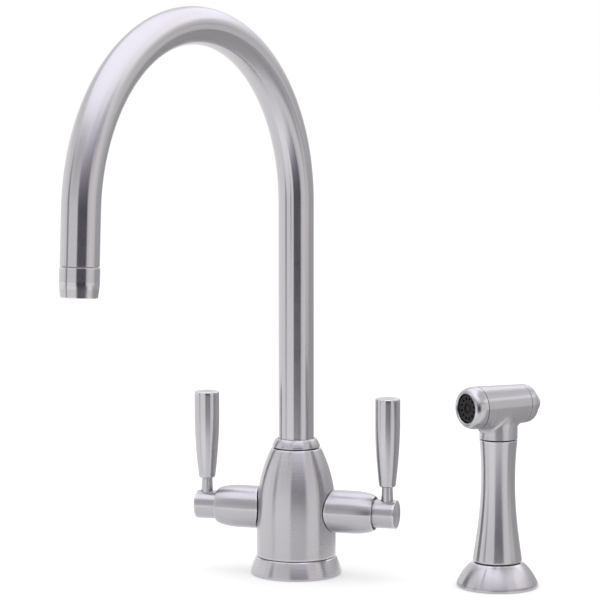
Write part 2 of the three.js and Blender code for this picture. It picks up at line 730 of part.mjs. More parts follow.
// Aerator pieces: local Z runs from the outlet's rim up into the tube.
function aeratorHousing() {
  const outer = TUBE_RADIUS + AERATOR_PROUD;
  const bore = outer - AERATOR_WALL;
  const insertTop = AERATOR_RECESS + AERATOR_INSERT + WASHER_THICKNESS + 2 * SEAT_GAP;
  const spigot = tubeBore - SEAT_GAP;
  const neck = spigot - AERATOR_SPIGOT_WALL;
  const foot = outer - AERATOR_TAPER;
  return turned([
    [bore, SEAT_GAP],
    [bore + SEAT_GAP, 0],
    ...rounded([foot - AERATOR_EDGE, 0], [foot, 0], [foot, AERATOR_EDGE]),
    [outer, AERATOR_TAPER_LENGTH],
    [outer, AERATOR_LENGTH - AERATOR_PROUD],
    [TUBE_RADIUS, AERATOR_LENGTH],
    [spigot, AERATOR_LENGTH],
    [spigot, AERATOR_LENGTH + AERATOR_SPIGOT],
    [neck, AERATOR_LENGTH + AERATOR_SPIGOT],
    [neck, insertTop],
    [bore, insertTop],
  ], MEDIUM_SIDES);
}

function aeratorInsert() {
  const radius = TUBE_RADIUS + AERATOR_PROUD - AERATOR_WALL - SEAT_GAP;
  const circle = radius * AERATOR_SPREAD;
  const holes = [
    circlePoints(AERATOR_HOLE, HOLE_SIDES),
    ...holeCircle(AERATOR_HOLES, circle, AERATOR_HOLE, HOLE_SIDES),
  ];
  const top = AERATOR_RECESS + AERATOR_INSERT;
  return drilledPlate(radius, MEDIUM_SIDES, AERATOR_RECESS, top, holes);
}

function aeratorWasher() {
  const radius = TUBE_RADIUS + AERATOR_PROUD - AERATOR_WALL - SEAT_GAP;
  const bottom = AERATOR_RECESS + AERATOR_INSERT + SEAT_GAP;
  return ring(radius, radius - WASHER_THICKNESS, bottom, bottom + WASHER_THICKNESS);
}

function spoutPieces() {
  const [lower, upper] = oringHeights();
  const aerator = groupOf(
    piece('aerator_housing', aeratorHousing(), steel),
    piece('aerator_insert', aeratorInsert(), plastic),
    piece('aerator_washer', aeratorWasher(), rubber),
  );
  aerator.position.copy(new SpoutCurve(TIP_LENGTH).getPoint(1));
  aerator.rotation.x = BEND_SWEEP - Math.PI;
  const spout = groupOf(
    piece('spout_tube', spoutTube(), steel),
    piece('spout_shank', spoutShank(), brass),
    piece('spout_oring_lower', oring(lower), rubber),
    piece('spout_oring_upper', oring(upper), rubber),
    aerator,
  );
  spout.rotation.z = -SPOUT_TURN;
  const bushing = ring(collarSpigotRadius, collarBore, bushingBottom, bushingTop, MEDIUM_SIDES);
  return [
    spout,
    piece('spout_collar', spoutCollar(), steel),
    piece('spout_bushing', bushing, plastic),
  ];
}

// ---------------------------------------------------------------- diverter

function diverterPieces() {
  const plateBottom = ledge + SEAT_GAP;
  const guide = SPOOL_STEM + RUN_GAP;
  const skirtRadius = chamberRadius - DIVERTER_PLAY;
  const skirtBore = skirtRadius - DIVERTER_WALL;
  const web = DIVERTER_WALL / 2;
  const flowHole = (skirtBore - guide - 2 * web) / 2;
  const flowCircle = guide + web + flowHole;
  const skirtBottom = ledge - DIVERTER_SKIRT;
  const plate = drilledPlate(oringBore - SEAT_GAP, SMALL_SIDES, plateBottom, plateBottom + DIVERTER_PLATE,
    [circlePoints(guide, PIN_SIDES), ...holeCircle(4, flowCircle, flowHole, HOLE_SIDES)]);
  const skirt = ring(skirtRadius, skirtBore, skirtBottom, plateBottom + DIVERTER_PLATE / 2);
  const discTop = skirtBottom - DIVERTER_TRAVEL - SEAT_GAP;
  const spool = turned([
    [0, discTop - SPOOL_DISC],
    [skirtRadius - RUN_GAP, discTop - SPOOL_DISC],
    [skirtRadius - RUN_GAP, discTop],
    [SPOOL_STEM, discTop],
    [SPOOL_STEM, plateBottom + DIVERTER_PLATE + 2 * DIVERTER_TRAVEL],
    [0, plateBottom + DIVERTER_PLATE + 2 * DIVERTER_TRAVEL],
  ], SMALL_SIDES);
  const spring = coilSpring(guide + 1, discTop + SEAT_GAP, plateBottom - SEAT_GAP);
  return [
    piece('diverter_seat', join(plate, skirt), plastic),
    piece('diverter_spool', spool, plastic),
    piece('diverter_spring', spring, plainSteel),
  ];
}

// ---------------------------------------------------------------- arms and levers

// An arm's end at the body is cut to the bell's curve, and its threaded tail goes through the bell
// into the valve body.
function arm() {
  const curveStart = armEnd - ARM_CURVE_LENGTH;
  const saddle = turned([[0, 0], ...bellSide(SEAT_GAP, 6), [0, BODY_TOP]], LARGE_SIDES);
  const sleeve = turned([
    [0, barrelRadius],
    [armRadius, barrelRadius],
    ...pulled([armRadius, curveStart], [armLipRadius, armEnd - SEAT_GAP], ARM_PULLS),
    [armLipRadius - SEAT_GAP, armEnd],
    [armMouth + SEAT_GAP, armEnd],
    [armMouth, armEnd - SEAT_GAP],
    [armMouth, cavityFloor],
    [0, cavityFloor],
  ], MEDIUM_SIDES);
  const seated = cut(sleeve, saddle.translate(0, 0, -ARM_HEIGHT).rotateY(-Math.PI / 2));
  const tail = rod(TAIL_RADIUS, tailStart, cavityFloor - SEAT_GAP);
  const waterway = rod(PORT_BORE, tailStart - 1, cavityFloor + 1);
  return cut(join(seated, tail), waterway);
}

function sectorHole(from, to) {
  const outer = discRadius - PORT_RIM;
  const points = [];
  for (let i = 0; i <= PORT_STEPS; i++) {
    const angle = THREE.MathUtils.lerp(from, to, i / PORT_STEPS);
    points.push(new THREE.Vector2(outer * Math.cos(angle), outer * Math.sin(angle)));
  }
  points.push(new THREE.Vector2(PORT_INNER * Math.cos(to), PORT_INNER * Math.sin(to)));
  points.push(new THREE.Vector2(PORT_INNER * Math.cos(from), PORT_INNER * Math.sin(from)));
  return points;
}

function ceramicDisc(start) {
  const ports = [Math.PI / 4, Math.PI * 1.25].map((from) => sectorHole(from, from + Math.PI / 2));
  return drilledPlate(discRadius, SMALL_SIDES, start, start + DISC_THICKNESS, ports);
}

function movingDisc() {
  const end = movingDiscStart + DISC_THICKNESS;
  const depth = TANG_HEIGHT + SEAT_GAP;
  const slot = new THREE.BoxGeometry(TANG_WIDTH + 2 * SEAT_GAP, 3 * discRadius, 2 * depth);
  return cut(ceramicDisc(movingDiscStart), slot.translate(0, 0, end));
}

function spindle() {
  const shaft = turned([
    [0, spindleStart],
    [discRadius, spindleStart],
    [discRadius, spindleStart + SPINDLE_FLANGE],
    [SPINDLE_RADIUS, spindleStart + SPINDLE_FLANGE],
    [SPINDLE_RADIUS, hubSocketEnd - SEAT_GAP],
    [0, hubSocketEnd - SEAT_GAP],
  ], SMALL_SIDES);
  const height = SEAT_GAP + TANG_HEIGHT + SPINDLE_FLANGE / 2;
  const tang = new THREE.BoxGeometry(TANG_WIDTH, 2 * discRadius * TANG_SHARE, height);
  const bottom = spindleStart - SEAT_GAP - TANG_HEIGHT;
  return join(shaft, tang.translate(0, 0, bottom + height / 2));
}

function cartridge() {
  return turned([
    [cupBore, fixedDiscStart],
    [cupRadius, fixedDiscStart],
    [cupRadius, cupEnd],
    [spindleBore, cupEnd],
    [spindleBore, cupEndStart],
    [cupBore, cupEndStart],
  ], SMALL_SIDES);
}

function hub() {
  const body = turned([
    [0, hubSocketEnd],
    [SPINDLE_RADIUS + SEAT_GAP, hubSocketEnd],
    [SPINDLE_RADIUS + SEAT_GAP, hubStart],
    [HUB_RADIUS - HUB_EDGE, hubStart],
    [HUB_RADIUS, hubStart + HUB_EDGE],
    [HUB_RADIUS, hubEnd - HUB_EDGE],
    [HUB_RADIUS - HUB_EDGE, hubEnd],
    [0, hubEnd],
  ], MEDIUM_SIDES);
  const floor = HUB_RADIUS - STEM_DEPTH - SEAT_GAP;
  const stemHole = rod(STEM_FOOT_RADIUS + SEAT_GAP, floor, HUB_RADIUS + 1).rotateY(-Math.PI / 2);
  const screwHole = rod(SCREW_RADIUS + SEAT_GAP, 0, HUB_RADIUS + 1, PIN_SIDES).rotateY(Math.PI / 2);
  return cut(body, stemHole.translate(0, 0, leverReach), screwHole.translate(0, 0, screwPlace));
}

function setScrew() {
  const start = SPINDLE_RADIUS + SEAT_GAP;
  const screw = rod(SCREW_RADIUS, start, HUB_RADIUS - HUB_EDGE, PIN_SIDES).rotateY(Math.PI / 2);
  return screw.translate(0, 0, screwPlace);
}

function leverStem() {
  return turned([
    [0, HUB_RADIUS - STEM_DEPTH],
    [STEM_FOOT_RADIUS, HUB_RADIUS - STEM_DEPTH],
    [STEM_FOOT_RADIUS, HUB_RADIUS],
    [STEM_TOP_RADIUS, GRIP_START],
    [STEM_TOP_RADIUS, GRIP_START + STEM_IN_GRIP],
    [0, GRIP_START + STEM_IN_GRIP],
  ], SMALL_SIDES);
}

function leverGrip() {
  const socket = STEM_TOP_RADIUS + SEAT_GAP;
  const socketTop = GRIP_START + STEM_IN_GRIP + SEAT_GAP;
  const foot = socket + GRIP_FOOT_WALL;
  const full = THREE.MathUtils.lerp(GRIP_START, GRIP_TOP, GRIP_FULL);
  return turned([
    [0, socketTop],
    [socket, socketTop],
    [socket, GRIP_START],
    [foot - GRIP_EDGE, GRIP_START],
    ...pulled([foot, GRIP_START + GRIP_EDGE], [GRIP_RADIUS, full], LEVER_PULLS),
    ...rounded([GRIP_RADIUS, GRIP_TOP - GRIP_EDGE], [GRIP_RADIUS, GRIP_TOP],
      [GRIP_RADIUS - GRIP_EDGE, GRIP_TOP]),
    [0, GRIP_TOP],
  ], MEDIUM_SIDES);
}

// One side's valve, from the arm to the lever. Turned about Z by 0 it is the cold side.
function valveSide(name, turn) {
  const axle = groupOf(
    piece(`${name}_arm`, arm(), steel),
    piece(`${name}_cartridge`, cartridge(), brass),
    piece(`${name}_fixed_disc`, ceramicDisc(fixedDiscStart), ceramic),
    piece(`${name}_moving_disc`, movingDisc(), ceramic),
    piece(`${name}_spindle`, spindle(), brass),
    piece(`${name}_lever_hub`, hub(), steel),
    piece(`${name}_set_screw`, setScrew(), plainSteel),
  );
  axle.rotation.y = Math.PI / 2;
  const lever = groupOf(
    piece(`${name}_lever_stem`, leverStem(), steel),
    piece(`${name}_lever_grip`, leverGrip(), steel),
  );
  lever.position.x = leverReach;
  const side = groupOf(axle, lever);
  side.position.z = ARM_HEIGHT;
  side.rotation.z = turn;
  return side;
}

// ---------------------------------------------------------------- side spray holder

function holderFlange() {
  const bore = holderShankRadius + SEAT_GAP;
  return turned([
    [bore, 0],
    ...gasketRecess(holderGasketInner, holderRim),
    ...rounded([holderRim, 0], [HOLDER_RADIUS, 0], [HOLDER_RADIUS, HOLDER_EDGE]),
    ...pulled([HOLDER_RADIUS, 2 * HOLDER_EDGE], [holderLipRadius, HOLDER_TOP - HOLDER_EDGE / 2],
      HOLDER_PULLS),
    [holderLipRadius - 2 * HOLDER_EDGE, HOLDER_TOP],
    [bushLipRadius + SEAT_GAP, HOLDER_TOP],
    [bushLipRadius + SEAT_GAP, HOLDER_THREAD + SEAT_GAP],
    [bore, HOLDER_THREAD + SEAT_GAP],
  ], LARGE_SIDES);
}

function holderPieces() {
  const { rubberTop, nutTop } = clampStack();
  const hole = holderShankRadius + SEAT_GAP;
  const washerBottom = nutTop + SEAT_GAP;
  const shankBottom = nutTop - NUT_HEIGHT - THREAD_PAST_NUT;
  const lipBottom = HOLDER_THREAD + SEAT_GAP;
  const bush = turned([
    [bushBore, -BUSH_DROP],
    [bushRadius, -BUSH_DROP],
    [bushRadius, lipBottom],
    [bushLipRadius, lipBottom],
    [bushLipRadius, HOLDER_TOP],
    [bushBore, HOLDER_TOP],
  ], MEDIUM_SIDES);
  const washer = ring(holderShankRadius + CLAMP_OVERHANG, hole, washerBottom, rubberTop, MEDIUM_SIDES);
  const shank = ring(holderShankRadius, holderShankBore, shankBottom, HOLDER_THREAD, MEDIUM_SIDES);
  return [
    piece('holder_flange', holderFlange(), steel),
    piece('holder_bush', bush, blackPlastic),
    piece('holder_gasket', gasket(holderGasketInner, holderRim), rubber),
    piece('holder_shank', shank, brass),
    piece('holder_washer', washer, rubber),
    piece('holder_nut', hexNut(hole + HOLDER_NUT_WALL, hole, nutTop - NUT_HEIGHT, nutTop), brass),
  ];
}

// ---------------------------------------------------------------- handset

// The collar at its top rests on the grip nut, so the handset turns on it.
function hoseConnector() {
  return turned([
    [CONNECTOR_BORE, -CONNECTOR_DROP],
    [CONNECTOR_RADIUS, -CONNECTOR_DROP],
    [CONNECTOR_RADIUS, gripNutTop + SEAT_GAP],
    [connectorCollarRadius, gripNutTop + SEAT_GAP],
    [connectorCollarRadius, connectorCollarTop],
    [CONNECTOR_BORE, connectorCollarTop],
  ], SMALL_SIDES);
}

function gripNut() {
  return turned([
    [gripNutBore, sprayBottom - GRIP_NUT_DROP],
    [gripNutRadius, sprayBottom - GRIP_NUT_DROP],
    [gripNutRadius, sprayBottom - SEAT_GAP],
    [gripThreadRadius, sprayBottom - SEAT_GAP],
    [gripThreadRadius, gripNutTop],
    [gripNutBore, gripNutTop],
  ], MEDIUM_SIDES);
}

function sprayGrip() {
  const nutBore = gripThreadRadius + SEAT_GAP;
  const foot = [SPRAY_FOOT_RADIUS, sprayBottom + SPRAY_EDGE];
  const waist = [SPRAY_WAIST_RADIUS, sprayNeck - SPRAY_WAIST_DROP];
  const neck = [SPRAY_NECK_RADIUS, sprayNeck - SEAT_GAP];
  return turned([
    [nutBore, sprayBottom],
    [SPRAY_FOOT_RADIUS - SPRAY_EDGE, sprayBottom],
    ...pulled(foot, waist, SPRAY_FOOT_PULLS),
    ...pulled(waist, neck, SPRAY_NECK_PULLS, 4).slice(1),
    [SPRAY_NECK_RADIUS - SEAT_GAP, sprayNeck],
    [SPRAY_BORE, sprayNeck],
    [SPRAY_BORE, sprayBoreStart],
    [nutBore, sprayBoreStart],
  ], MEDIUM_SIDES);
}

// Head pieces: local Z is the head's axis towards the nozzle, local Y is up.
function headRadius(along) {
  const share = (along + HEAD_REAR) / (HEAD_FRONT + HEAD_REAR);
  return THREE.MathUtils.lerp(HEAD_REAR_RADIUS, HEAD_FRONT_RADIUS, share);
}

// The neck grows out of the head: seen from the side its fillet is long towards the nozzle and short
// towards the button, and across the head it dies into the head's round side.
function neckWithFillets(sides, filletSteps) {
  const rings = [];
  for (let i = 0; i < sides; i++) {
    const angle = (2 * Math.PI * i) / sides;
    const forward = Math.cos(angle);
    const across = Math.sin(angle);
    const along = forward * forward;
    const longest = forward > 0 ? FILLET_FRONT : FILLET_REAR;
    const width = THREE.MathUtils.lerp(FILLET_SIDE, longest, along);
    const height = THREE.MathUtils.lerp(FILLET_SIDE, FILLET_HEIGHT * longest / FILLET_FRONT, along);
    const underside = (radius) => {
      const head = headRadius(radius * forward) - FILLET_SINK;
      return -Math.sqrt(Math.max(head * head - (radius * across) ** 2, 0));
    };
    const corner = new THREE.Vector2(SPRAY_NECK_RADIUS, underside(SPRAY_NECK_RADIUS));
    const foot = new THREE.Vector2(SPRAY_NECK_RADIUS, corner.y - height);
    const edge = new THREE.Vector2(SPRAY_NECK_RADIUS + width, underside(SPRAY_NECK_RADIUS + width));
    const profile = [
      new THREE.Vector2(SPRAY_NECK_RADIUS, -HEAD_NECK),
      ...new THREE.QuadraticBezierCurve(foot, corner, edge).getPoints(filletSteps),
      new THREE.Vector2(SPRAY_NECK_RADIUS / 2, -HEAD_REAR_RADIUS / 2),
    ];
    rings.push(profile.map((p) => [p.x * across, p.y, p.x * forward]));
  }
  return closedLoft(rings, [0, -HEAD_NECK, 0], [0, -HEAD_REAR_RADIUS / 2, 0]);
}

// A closed skin over profiles that stand around an axis, from one end point to the other.
function closedLoft(profiles, first, last) {
  const positions = [first, ...profiles.flat(), last].flat();
  const perProfile = profiles[0].length;
  const index = [];
  const end = profiles.length * perProfile + 1;
  profiles.forEach((_, i) => {
    const here = 1 + i * perProfile;
    const next = 1 + ((i + 1) % profiles.length) * perProfile;
    index.push(0, next, here);
    for (let k = 0; k < perProfile - 1; k++) {
      index.push(here + k, next + k, next + k + 1, here + k, next + k + 1, here + k + 1);
    }
    index.push(here + perProfile - 1, next + perProfile - 1, end);
  });
  const geometry = new THREE.BufferGeometry();
  geometry.setAttribute('position', new THREE.Float32BufferAttribute(positions, 3));
  geometry.setIndex(index);
  return geometry;
}

function sprayHead() {
  const barrel = turned([
    [0, -HEAD_REAR],
    [HEAD_REAR_RADIUS, -HEAD_REAR],
    [HEAD_FRONT_RADIUS, HEAD_FRONT],
    [0, HEAD_FRONT],
  ], LARGE_SIDES);
  const upright = (geometry) => geometry.rotateX(-Math.PI / 2);
  const spigot = upright(rod(neckSpigotRadius, -HEAD_NECK - NECK_SPIGOT, 1 - HEAD_NECK));
  const waterway = upright(rod(neckBore, -HEAD_NECK - NECK_SPIGOT - 1, 0));
  const bore = rod(HEAD_BORE, -HEAD_REAR - 1, HEAD_FRONT + 1, MEDIUM_SIDES);
  return cut(join(barrel, neckWithFillets(MEDIUM_SIDES, 4), spigot), waterway, bore);
}

function nozzleRing() {
  const spigotEnd = nozzleStart - NOZZLE_SPIGOT;
  const bore = PLATE_RADIUS + SEAT_GAP;
  const stop = headSpigotRadius - NOZZLE_SPIGOT_WALL;
  const straightEnd = nozzleStart + NOZZLE_STRAIGHT;
  return turned([
    [stop - SEAT_GAP, spigotEnd],
    [headSpigotRadius, spigotEnd],
    [headSpigotRadius, nozzleStart],
    [HEAD_FRONT_RADIUS - SEAT_GAP, nozzleStart],
    [HEAD_FRONT_RADIUS, nozzleStart + SEAT_GAP],
    ...rounded([HEAD_FRONT_RADIUS, straightEnd],
      [HEAD_FRONT_RADIUS - NOZZLE_CORNER, nozzleEnd - 2 * NOZZLE_CORNER],
      [NOZZLE_LIP_RADIUS, nozzleEnd], 5),
    [bore, nozzleEnd - NOZZLE_CORNER],
    [bore, plateBack - SEAT_GAP],
    [stop - SEAT_GAP, plateBack - SEAT_GAP],
  ], LARGE_SIDES);
}

// The black spray plate: a ring of jets round a recessed core with a pin in it.
function nozzlePlate() {
  const jets = holeCircle(JETS, JET_CIRCLE, JET_RADIUS, HOLE_SIDES);
  const plate = drilledPlate(PLATE_RADIUS, LARGE_SIDES, plateBack, plateFront, jets);
  const coreFloor = plateBack + PLATE_THICKNESS / 3;
  const core = ring(CORE_RADIUS, CORE_PIN_RADIUS, coreFloor, plateFront + 1);
  return cut(plate, core);
}

function valveHousing() {
  const guide = VALVE_STEM_RADIUS + RUN_GAP;
  const body = turned([
    [guide, -housingRear],
    [housingRadius, -housingRear],
    [housingRadius, HOUSING_FRONT],
    [HOUSING_BORE, HOUSING_FRONT],
    [HOUSING_BORE, STEM_GUIDE - housingRear],
    [guide, STEM_GUIDE - housingRear],
  ], SMALL_SIDES);
  const inlet = rod(HOUSING_INLET, HOUSING_BORE / 2, housingRadius + 1, PIN_SIDES).rotateX(Math.PI / 2);
  return cut(body, inlet);
}

function rearCap() {
  const spigotEnd = capStart - CAP_SPIGOT;
  const recess = Math.max(buttonFlangeRadius + RUN_GAP, headSpigotRadius - CAP_SPIGOT_WALL);
  return turned([
    [recess, -spigotEnd],
    [headSpigotRadius, -spigotEnd],
    [headSpigotRadius, -capStart],
    ...pulled([HEAD_REAR_RADIUS, -capStart], [CAP_SHOULDER_RADIUS, -capEnd], CAP_PULLS),
    [buttonBore, -capEnd],
    [buttonBore, -capRecessEnd],
    [recess, -capRecessEnd],
  ], MEDIUM_SIDES);
}

function pushButton() {
  const face = -capEnd - BUTTON_PROUD;
  return turned([
    [0, face],
    ...rounded([BUTTON_RADIUS / 2, face], [BUTTON_RADIUS, face],
      [BUTTON_RADIUS, face + BUTTON_CROWN], 4),
    [BUTTON_RADIUS, -buttonFlangeEnd],
    [buttonFlangeRadius, -buttonFlangeEnd],
    [buttonFlangeRadius, -buttonFlangeStart],
    [0, -buttonFlangeStart],
  ], MEDIUM_SIDES);
}

function valveStem() {
  const seat = HOUSING_FRONT + SEAT_GAP;
  return turned([
    [0, SEAT_GAP - buttonFlangeStart],
    [VALVE_STEM_RADIUS, SEAT_GAP - buttonFlangeStart],
    [VALVE_STEM_RADIUS, seat],
    [POPPET_RADIUS, seat],
    [POPPET_RADIUS, seat + POPPET_THICKNESS],
    [0, seat + POPPET_THICKNESS],
  ], SMALL_SIDES);
}

function handsetPieces() {
  const springRadius = VALVE_STEM_RADIUS + RUN_GAP + 2 * SPRING_WIRE;
  const spring = coilSpring(springRadius, 2 * SEAT_GAP - buttonFlangeStart, -housingRear - SEAT_GAP);
  const head = groupOf(
    piece('spray_head', sprayHead(), steel),
    piece('spray_valve_housing', valveHousing(), plastic),
    piece('nozzle_ring', nozzleRing(), steel),
    piece('nozzle_plate', nozzlePlate(), blackPlastic),
    piece('rear_cap', rearCap(), steel),
    piece('push_button', pushButton(), steel),
    piece('valve_stem', valveStem(), plainSteel),
    piece('valve_spring', spring, plainSteel),
  );
  head.rotation.x = Math.PI / 2;
  const turnedHead = groupOf(head);
  turnedHead.position.z = HEAD_HEIGHT;
  turnedHead.rotation.z = -HEAD_TURN;
  const tubeInner = WATER_TUBE_RADIUS - WATER_TUBE_WALL;
  return [
    piece('hose_connector', hoseConnector(), brass),
    piece('grip_nut', gripNut(), brass),
    piece('spray_grip', sprayGrip(), steel),
    piece('water_tube', ring(WATER_TUBE_RADIUS, tubeInner, sprayBoreStart, waterTubeTop), plastic),
    turnedHead,
  ];
}

// ---------------------------------------------------------------- the whole faucet

const sideSpray = groupOf(...holderPieces(), ...handsetPieces());
sideSpray.position.x = HOLDER_X;

const faucet = groupOf(
  ...deckPieces(),
  ...spoutPieces(),
  ...diverterPieces(),
  valveSide('cold', 0),
  valveSide('hot', Math.PI),
  sideSpray,
);

export default faucet;
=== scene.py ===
"""Looks of a side spray kitchen faucet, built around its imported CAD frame.

Lengths are in millimetres in the frame's own axes: X along the arms, -Y towards the user, Z up from
the deck. They become metres when a mesh is made.
"""

import json
import math

import bmesh
import bpy
import numpy as np
from mathutils import Matrix, Vector
from mathutils.kdtree import KDTree

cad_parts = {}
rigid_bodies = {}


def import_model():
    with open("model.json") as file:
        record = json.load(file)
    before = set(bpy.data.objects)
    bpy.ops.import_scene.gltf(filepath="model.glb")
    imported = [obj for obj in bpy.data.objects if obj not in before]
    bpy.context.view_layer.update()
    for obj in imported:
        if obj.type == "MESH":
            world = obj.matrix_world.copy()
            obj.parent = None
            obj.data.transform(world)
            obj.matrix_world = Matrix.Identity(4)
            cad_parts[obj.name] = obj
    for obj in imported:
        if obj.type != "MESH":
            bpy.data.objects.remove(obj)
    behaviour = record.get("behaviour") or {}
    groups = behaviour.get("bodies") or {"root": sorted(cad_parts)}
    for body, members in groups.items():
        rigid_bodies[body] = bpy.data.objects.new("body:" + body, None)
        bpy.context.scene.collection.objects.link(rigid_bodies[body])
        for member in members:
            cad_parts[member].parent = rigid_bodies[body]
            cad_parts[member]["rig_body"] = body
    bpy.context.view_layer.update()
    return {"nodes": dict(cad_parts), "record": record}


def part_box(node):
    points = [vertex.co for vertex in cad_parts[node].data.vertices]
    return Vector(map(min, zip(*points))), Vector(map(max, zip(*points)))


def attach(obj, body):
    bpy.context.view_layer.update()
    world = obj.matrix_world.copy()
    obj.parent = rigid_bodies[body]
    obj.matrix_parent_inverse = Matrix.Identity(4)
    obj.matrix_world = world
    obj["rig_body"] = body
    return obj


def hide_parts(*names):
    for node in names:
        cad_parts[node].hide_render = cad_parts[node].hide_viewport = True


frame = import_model()

# ---------------------------------------------------------------- sizes

MM = 0.001
SIDES = 96
THREAD_SIDES = 48
MAX_STEP = 1.5  # between two points of an outline
ARC_STEPS = 4  # in a rounded corner of an outline
SHARP = math.radians(32)

# Spout.
TUBE_RADIUS = 12.5
TUBE_WALL = 4
TUBE_SEAM = 0.3
TUBE_EASE = (0.35, 0.4)  # across and along the tube, at its end
TUBE_INSET = 0.001
RISER_TOP = 263.5
BEND_RADIUS = 121
BEND_SWEEP = math.radians(177.1)
TIP_LENGTH = 54.6
SPOUT_TURN = Matrix.Rotation(math.radians(-15.9), 4, "Z")
AERATOR_LENGTH = 19

# Arms and levers.
ARM_RADIUS = 15.05
ARM_MOUTH = 11.23
ARM_LIP = 12.35
ARM_ROOT = 20
ARM_SHOULDER_START = 42
ARM_SEAM = 0.45
HUB_START = 51.6
HUB_SOCKET = (4.5, 61.7)  # radius and end
SCREW_PLACE = 60.3

# Side spray and its head. Lengths on the head run along its axis. They start at the grip's axis and
# are positive towards the nozzle.
HEAD_HEIGHT = 125.7
HEAD_TURN = math.radians(39)
HEAD_FRONT = 19.2
HEAD_FRONT_RADIUS = 14.6
HEAD_REAR = -19.1
HEAD_REAR_RADIUS = 13.45
HEAD_BORE = 11.3
NECK_RADIUS = 13.2
NECK_BORE = 7
NECK_DROP = -22.6
FILLET_FRONT = 6.0
FILLET_REAR = 3.4
FILLET_LEAST = 0.8
HEAD_VOXEL = 0.55
NOZZLE_START = 19.5
NOZZLE_END = 28.7
NOZZLE_LIP = 10.9
PLATE_RADIUS = 9.7
PLATE_BACK = 24.4
PLATE_FRONT = 27.1
JETS = 12
JET_RADIUS = 1.0
JET_CIRCLE = 6.8
CAP_START = -19.5
CAP_END = -26.8
BUTTON_FACE = -33.4
BUTTON_RADIUS = 6.6

# Under the deck and on it.
PIPE_PITCH = 1.8
PIPE_THREAD = 0.9
WASHER_WIDTH = 9.7
GASKET_BORE = 0.86  # as a share of its outer radius

# Camera, from the photograph's viewing angle, in metres.
CAMERA_PLACE = Vector((0.503593, -1.611412, 0.353420))
CAMERA_FORWARD = Vector((-0.295457, 0.950754, -0.093663))
CAMERA_UP = Vector((-0.027795, 0.089443, 0.995604))
CAMERA_LENS = 144.72
CAMERA_AZIMUTH = math.atan2(CAMERA_PLACE.x, -CAMERA_PLACE.y)

SLOT_OF_NODE = {part["node"]: part["material_slot"] for part in frame["record"]["subparts"]}


def extent(node):
    """Lowest and highest corner of a CAD node, in millimetres."""
    low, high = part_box(node)
    return low / MM, high / MM


# ---------------------------------------------------------------- outlines


def bezier(start, pull_start, pull_end, end, steps):
    """Outline points of a curve, its start included and its end left out."""
    a, b, c, d = (Vector(p[:2]) for p in (start, pull_start, pull_end, end))
    points = []
    for i in range(steps):
        t = i / steps
        s = 1 - t
        points.append(tuple(s**3 * a + 3 * s * s * t * b + 3 * s * t * t * c + t**3 * d))
    return points


def softened(outline, closed):
    """Turns each (radius, height, rounding) of an outline into a small arc.

    Returns (radius, height, edge) points, edge being 1 on an arc and 0 elsewhere.
    """
    points = []
    for i, corner in enumerate(outline):
        here = Vector(corner[:2])
        inside = closed or 0 < i < len(outline) - 1
        rounding = corner[2] if len(corner) > 2 and inside else 0
        if not rounding:
            points.append((*here, 0.0))
            continue
        before = Vector(outline[i - 1][:2]) - here
        after = Vector(outline[(i + 1) % len(outline)][:2]) - here
        reach = min(rounding, 0.48 * before.length, 0.48 * after.length)
        start, end = here + before.normalized() * reach, here + after.normalized() * reach
        for k in range(ARC_STEPS + 1):
            t = k / ARC_STEPS
            point = (1 - t) ** 2 * start + 2 * t * (1 - t) * here + t * t * end
            points.append((*point, 1.0))
    return points


def dense(points, closed):
    """Adds points so that none are more than a step apart."""
    made = []
    pairs = zip(points, points[1:] + points[:1]) if closed else zip(points, points[1:])
    for a, b in pairs:
        a, b = np.array(a), np.array(b)
        count = max(1, math.ceil(np.linalg.norm((b - a)[:2]) / MAX_STEP))
        made.append(a)
        made += [(*(a + (b - a) * k / count)[:2], 0.0) for k in range(1, count)]
    return np.array(made if closed else made + [points[-1]], float)


# ---------------------------------------------------------------- meshes


class Skin:
    """A mesh being made, with what its finish needs at each vertex.

    grains are the directions across the brush lines, spots the coordinates that the finish is laid
    out in, the last one along the piece, and edges how far a vertex lies on a rounded edge.
    """

    def __init__(self, places, grains, spots, edges, faces):
        self.places, self.grains, self.spots, self.edges = places, grains, spots, edges
        self.faces = faces

    def moved(self, matrix):
        turn = np.array(matrix.to_3x3())
        self.places = self.places @ turn.T + np.array(matrix.translation)
        self.grains = self.grains @ turn.T
        return self

    def mesh(self, name):
        mesh = bpy.data.meshes.new(name)
        mesh.from_pydata((self.places * MM).tolist(), [], self.faces)
        return mesh


def wrapped(places, grains, spots, edges, closed):
    """Skin over rows of points that each go round. A row that is one point becomes one vertex."""
    rows, sides = places.shape[:2]
    index = np.arange(rows * sides).reshape(rows, sides)
    single = np.ptp(places, axis=1).max(axis=1) < 1e-9
    index[single] = index[single, :1]
    lower, upper = (index, np.roll(index, -1, 0)) if closed else (index[:-1], index[1:])
    corners = np.stack([lower, np.roll(lower, -1, 1), np.roll(upper, -1, 1), upper], 2)
    used, corners = np.unique(corners.ravel(), return_inverse=True)
    corners = corners.reshape(-1, 4)
    points = places.reshape(-1, 3)[used]
    a, b, c, d = (points[corners[:, k]] for k in range(4))
    if (a * (np.cross(b, c) + np.cross(c, d))).sum() < 0:
        corners = corners[:, ::-1]
    faces = [tuple(dict.fromkeys(face)) for face in corners.tolist()]
    faces = [face for face in faces if len(face) > 2]
    flat = [values.reshape(rows * sides, -1)[used] for values in (grains, spots)]
    return Skin(points, *flat, np.repeat(edges, sides)[used], faces)


